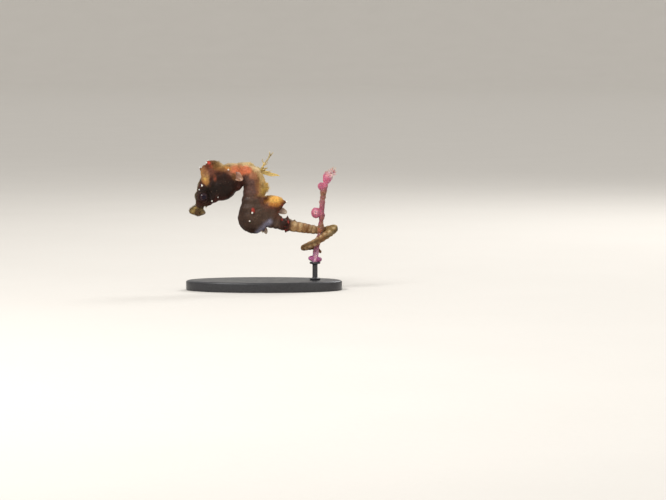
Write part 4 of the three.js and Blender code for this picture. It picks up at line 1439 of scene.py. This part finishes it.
def make_stand():
    material = stand_material()
    half_x, half_y, top = node_box("stand_base")[1]
    foot_edge = half_y - PLATE_FOOT_EDGE, PLATE_FOOT_EDGE, PLATE_FOOT_EDGE
    top_edge = half_y - PLATE_EDGE, top - PLATE_EDGE, PLATE_EDGE
    profile = [(half_y - 0.2, 0.0)] + arc(*foot_edge, -90, 0, 5) + arc(*top_edge, 0, 90)
    profile += [(half_y - PLATE_EDGE - 0.05, top), (half_y - 0.6, top)]
    mesh = turned_mesh("stand_base", (0, 0), profile, 160, half_x / half_y)
    add_piece("stand_plate", mesh, material, ["stand_base"])
    low, high = node_box("stand_rod")
    middle, flange = (low + high) / 2, (high[0] - low[0]) / 2
    foot, head = top, high[2] + STAND_SOCKET
    rim, neck, fillet = flange - FLANGE_EDGE, ROD_RADIUS + ROD_FILLET, FLANGE_THICKNESS + ROD_FILLET
    profile = [(flange - 0.08, foot), (flange - 0.02, foot)]
    profile += arc(rim, foot + FLANGE_THICKNESS - FLANGE_EDGE, FLANGE_EDGE, 0, 90, 5)
    profile += arc(neck, foot + fillet, ROD_FILLET, 270, 180, 6)
    profile += arc(neck, head - fillet, ROD_FILLET, 180, 90, 6)
    profile += arc(rim, head - FLANGE_THICKNESS + FLANGE_EDGE, FLANGE_EDGE, -90, 0, 5)
    profile += arc(rim, head - FLANGE_EDGE, FLANGE_EDGE, 0, 90, 5)
    mesh = turned_mesh("stand_rod", middle[:2], profile + [(flange - 0.1, head)], 64)
    add_piece("stand_post", mesh, material, ["stand_rod"])


# ---- The studio ----
CAMERA_AIM = (3.45, 0.0, 2.0)  # the middle of the picture
CAMERA_TILT = math.radians(4)
CAMERA_DISTANCE = 150.0
PICTURE_WIDTH = 33.3  # how much the picture takes in, at the model
NEAREST, FARTHEST = 5, 3000  # what the camera sees
FLOOR_RADIUS, FLOOR_BEND, FLOOR_SIDES = 600, 240, 96
PAPER_DARK = (0.64, 0.61, 0.565)
PAPER_PALE = (0.67, 0.64, 0.595)
LIT_POINT = (0.0, 0.0, 4.0)
LAMPS = [  # name, place, width and irradiance
    ("key", (-42, -62, 66), 30, 2.2),
    ("fill", (70, -60, 30), 60, 0.25),
    ("rim", (46, 58, 62), 30, 1.3),
]
SKY_COLOUR = (1.0, 0.985, 0.96, 1)
SKY_STRENGTH = 0.8


def make_stage():
    """A round floor that curves up into a wall all round."""
    look = Look("pale paper", roughness=0.9)
    colour = look.mix(look.noise(8.0, 4.0), PAPER_DARK, PAPER_PALE)
    material = look.finish(colour, look.bump(look.noise(0.5, 5.0), 0.02))
    profile = [(radius, 0.0) for radius in (20, 60, 180, 400)]
    profile += arc(FLOOR_RADIUS, FLOOR_BEND, FLOOR_BEND, -90, 0, 16)
    points = [(r * math.cos(t), r * math.sin(t), h) for r, h in profile for t in turns(FLOOR_SIDES)]
    points.append((0.0, 0.0, 0.0))
    quads = ring_quads(len(profile), FLOOR_SIDES)[..., ::-1]
    mesh = make_mesh("studio_floor", points, quads, fan(FLOOR_SIDES, 0, len(points) - 1))
    mesh.materials.append(material)
    add_object("studio_floor", mesh)


def add_area(name, place, aim, size, irradiance):
    """A square lamp that gives the stated irradiance where it is aimed."""
    distance = np.linalg.norm(np.subtract(aim, place)) * MM
    lamp = bpy.data.lights.new(name, "AREA")
    lamp.size = size * MM
    lamp.energy = irradiance * math.pi * distance**2
    held = add_object(name, lamp)
    held.location = Vector(place) * MM
    held.rotation_euler = Vector(np.subtract(aim, place)).to_track_quat("-Z", "Y").to_euler()


def make_lights():
    for name, place, width, irradiance in LAMPS:
        add_area(name, place, LIT_POINT, width, irradiance)
    world = bpy.data.worlds.new("studio")
    bpy.context.scene.world = world
    world.use_nodes = True
    background = world.node_tree.nodes["Background"]
    background.inputs["Color"].default_value = SKY_COLOUR
    background.inputs["Strength"].default_value = SKY_STRENGTH


def make_camera():
    lens = bpy.data.cameras.new("camera")
    lens.lens = lens.sensor_width * CAMERA_DISTANCE / PICTURE_WIDTH
    lens.clip_start, lens.clip_end = NEAREST * MM, FARTHEST * MM
    camera = add_object("camera", lens)
    back = Vector((0, -math.cos(CAMERA_TILT), math.sin(CAMERA_TILT)))
    camera.location = (Vector(CAMERA_AIM) + back * CAMERA_DISTANCE) * MM
    camera.rotation_euler = (math.pi / 2 - CAMERA_TILT, 0, 0)
    bpy.context.scene.camera = camera
    bpy.context.scene.view_settings.view_transform = "Standard"


def main():
    skin = make_skin()
    eye_look = eye_material()
    for name, side in [("eye_left", -1), ("eye_right", 1)]:
        make_eye(name, side, eye_look)
    make_fins()
    make_nape()
    fuzz_look = fuzz_material()
    make_fuzz(skin, fuzz_look)
    make_perch(fuzz_look)
    make_stand()
    make_stage()
    make_lights()
    make_camera()


main()
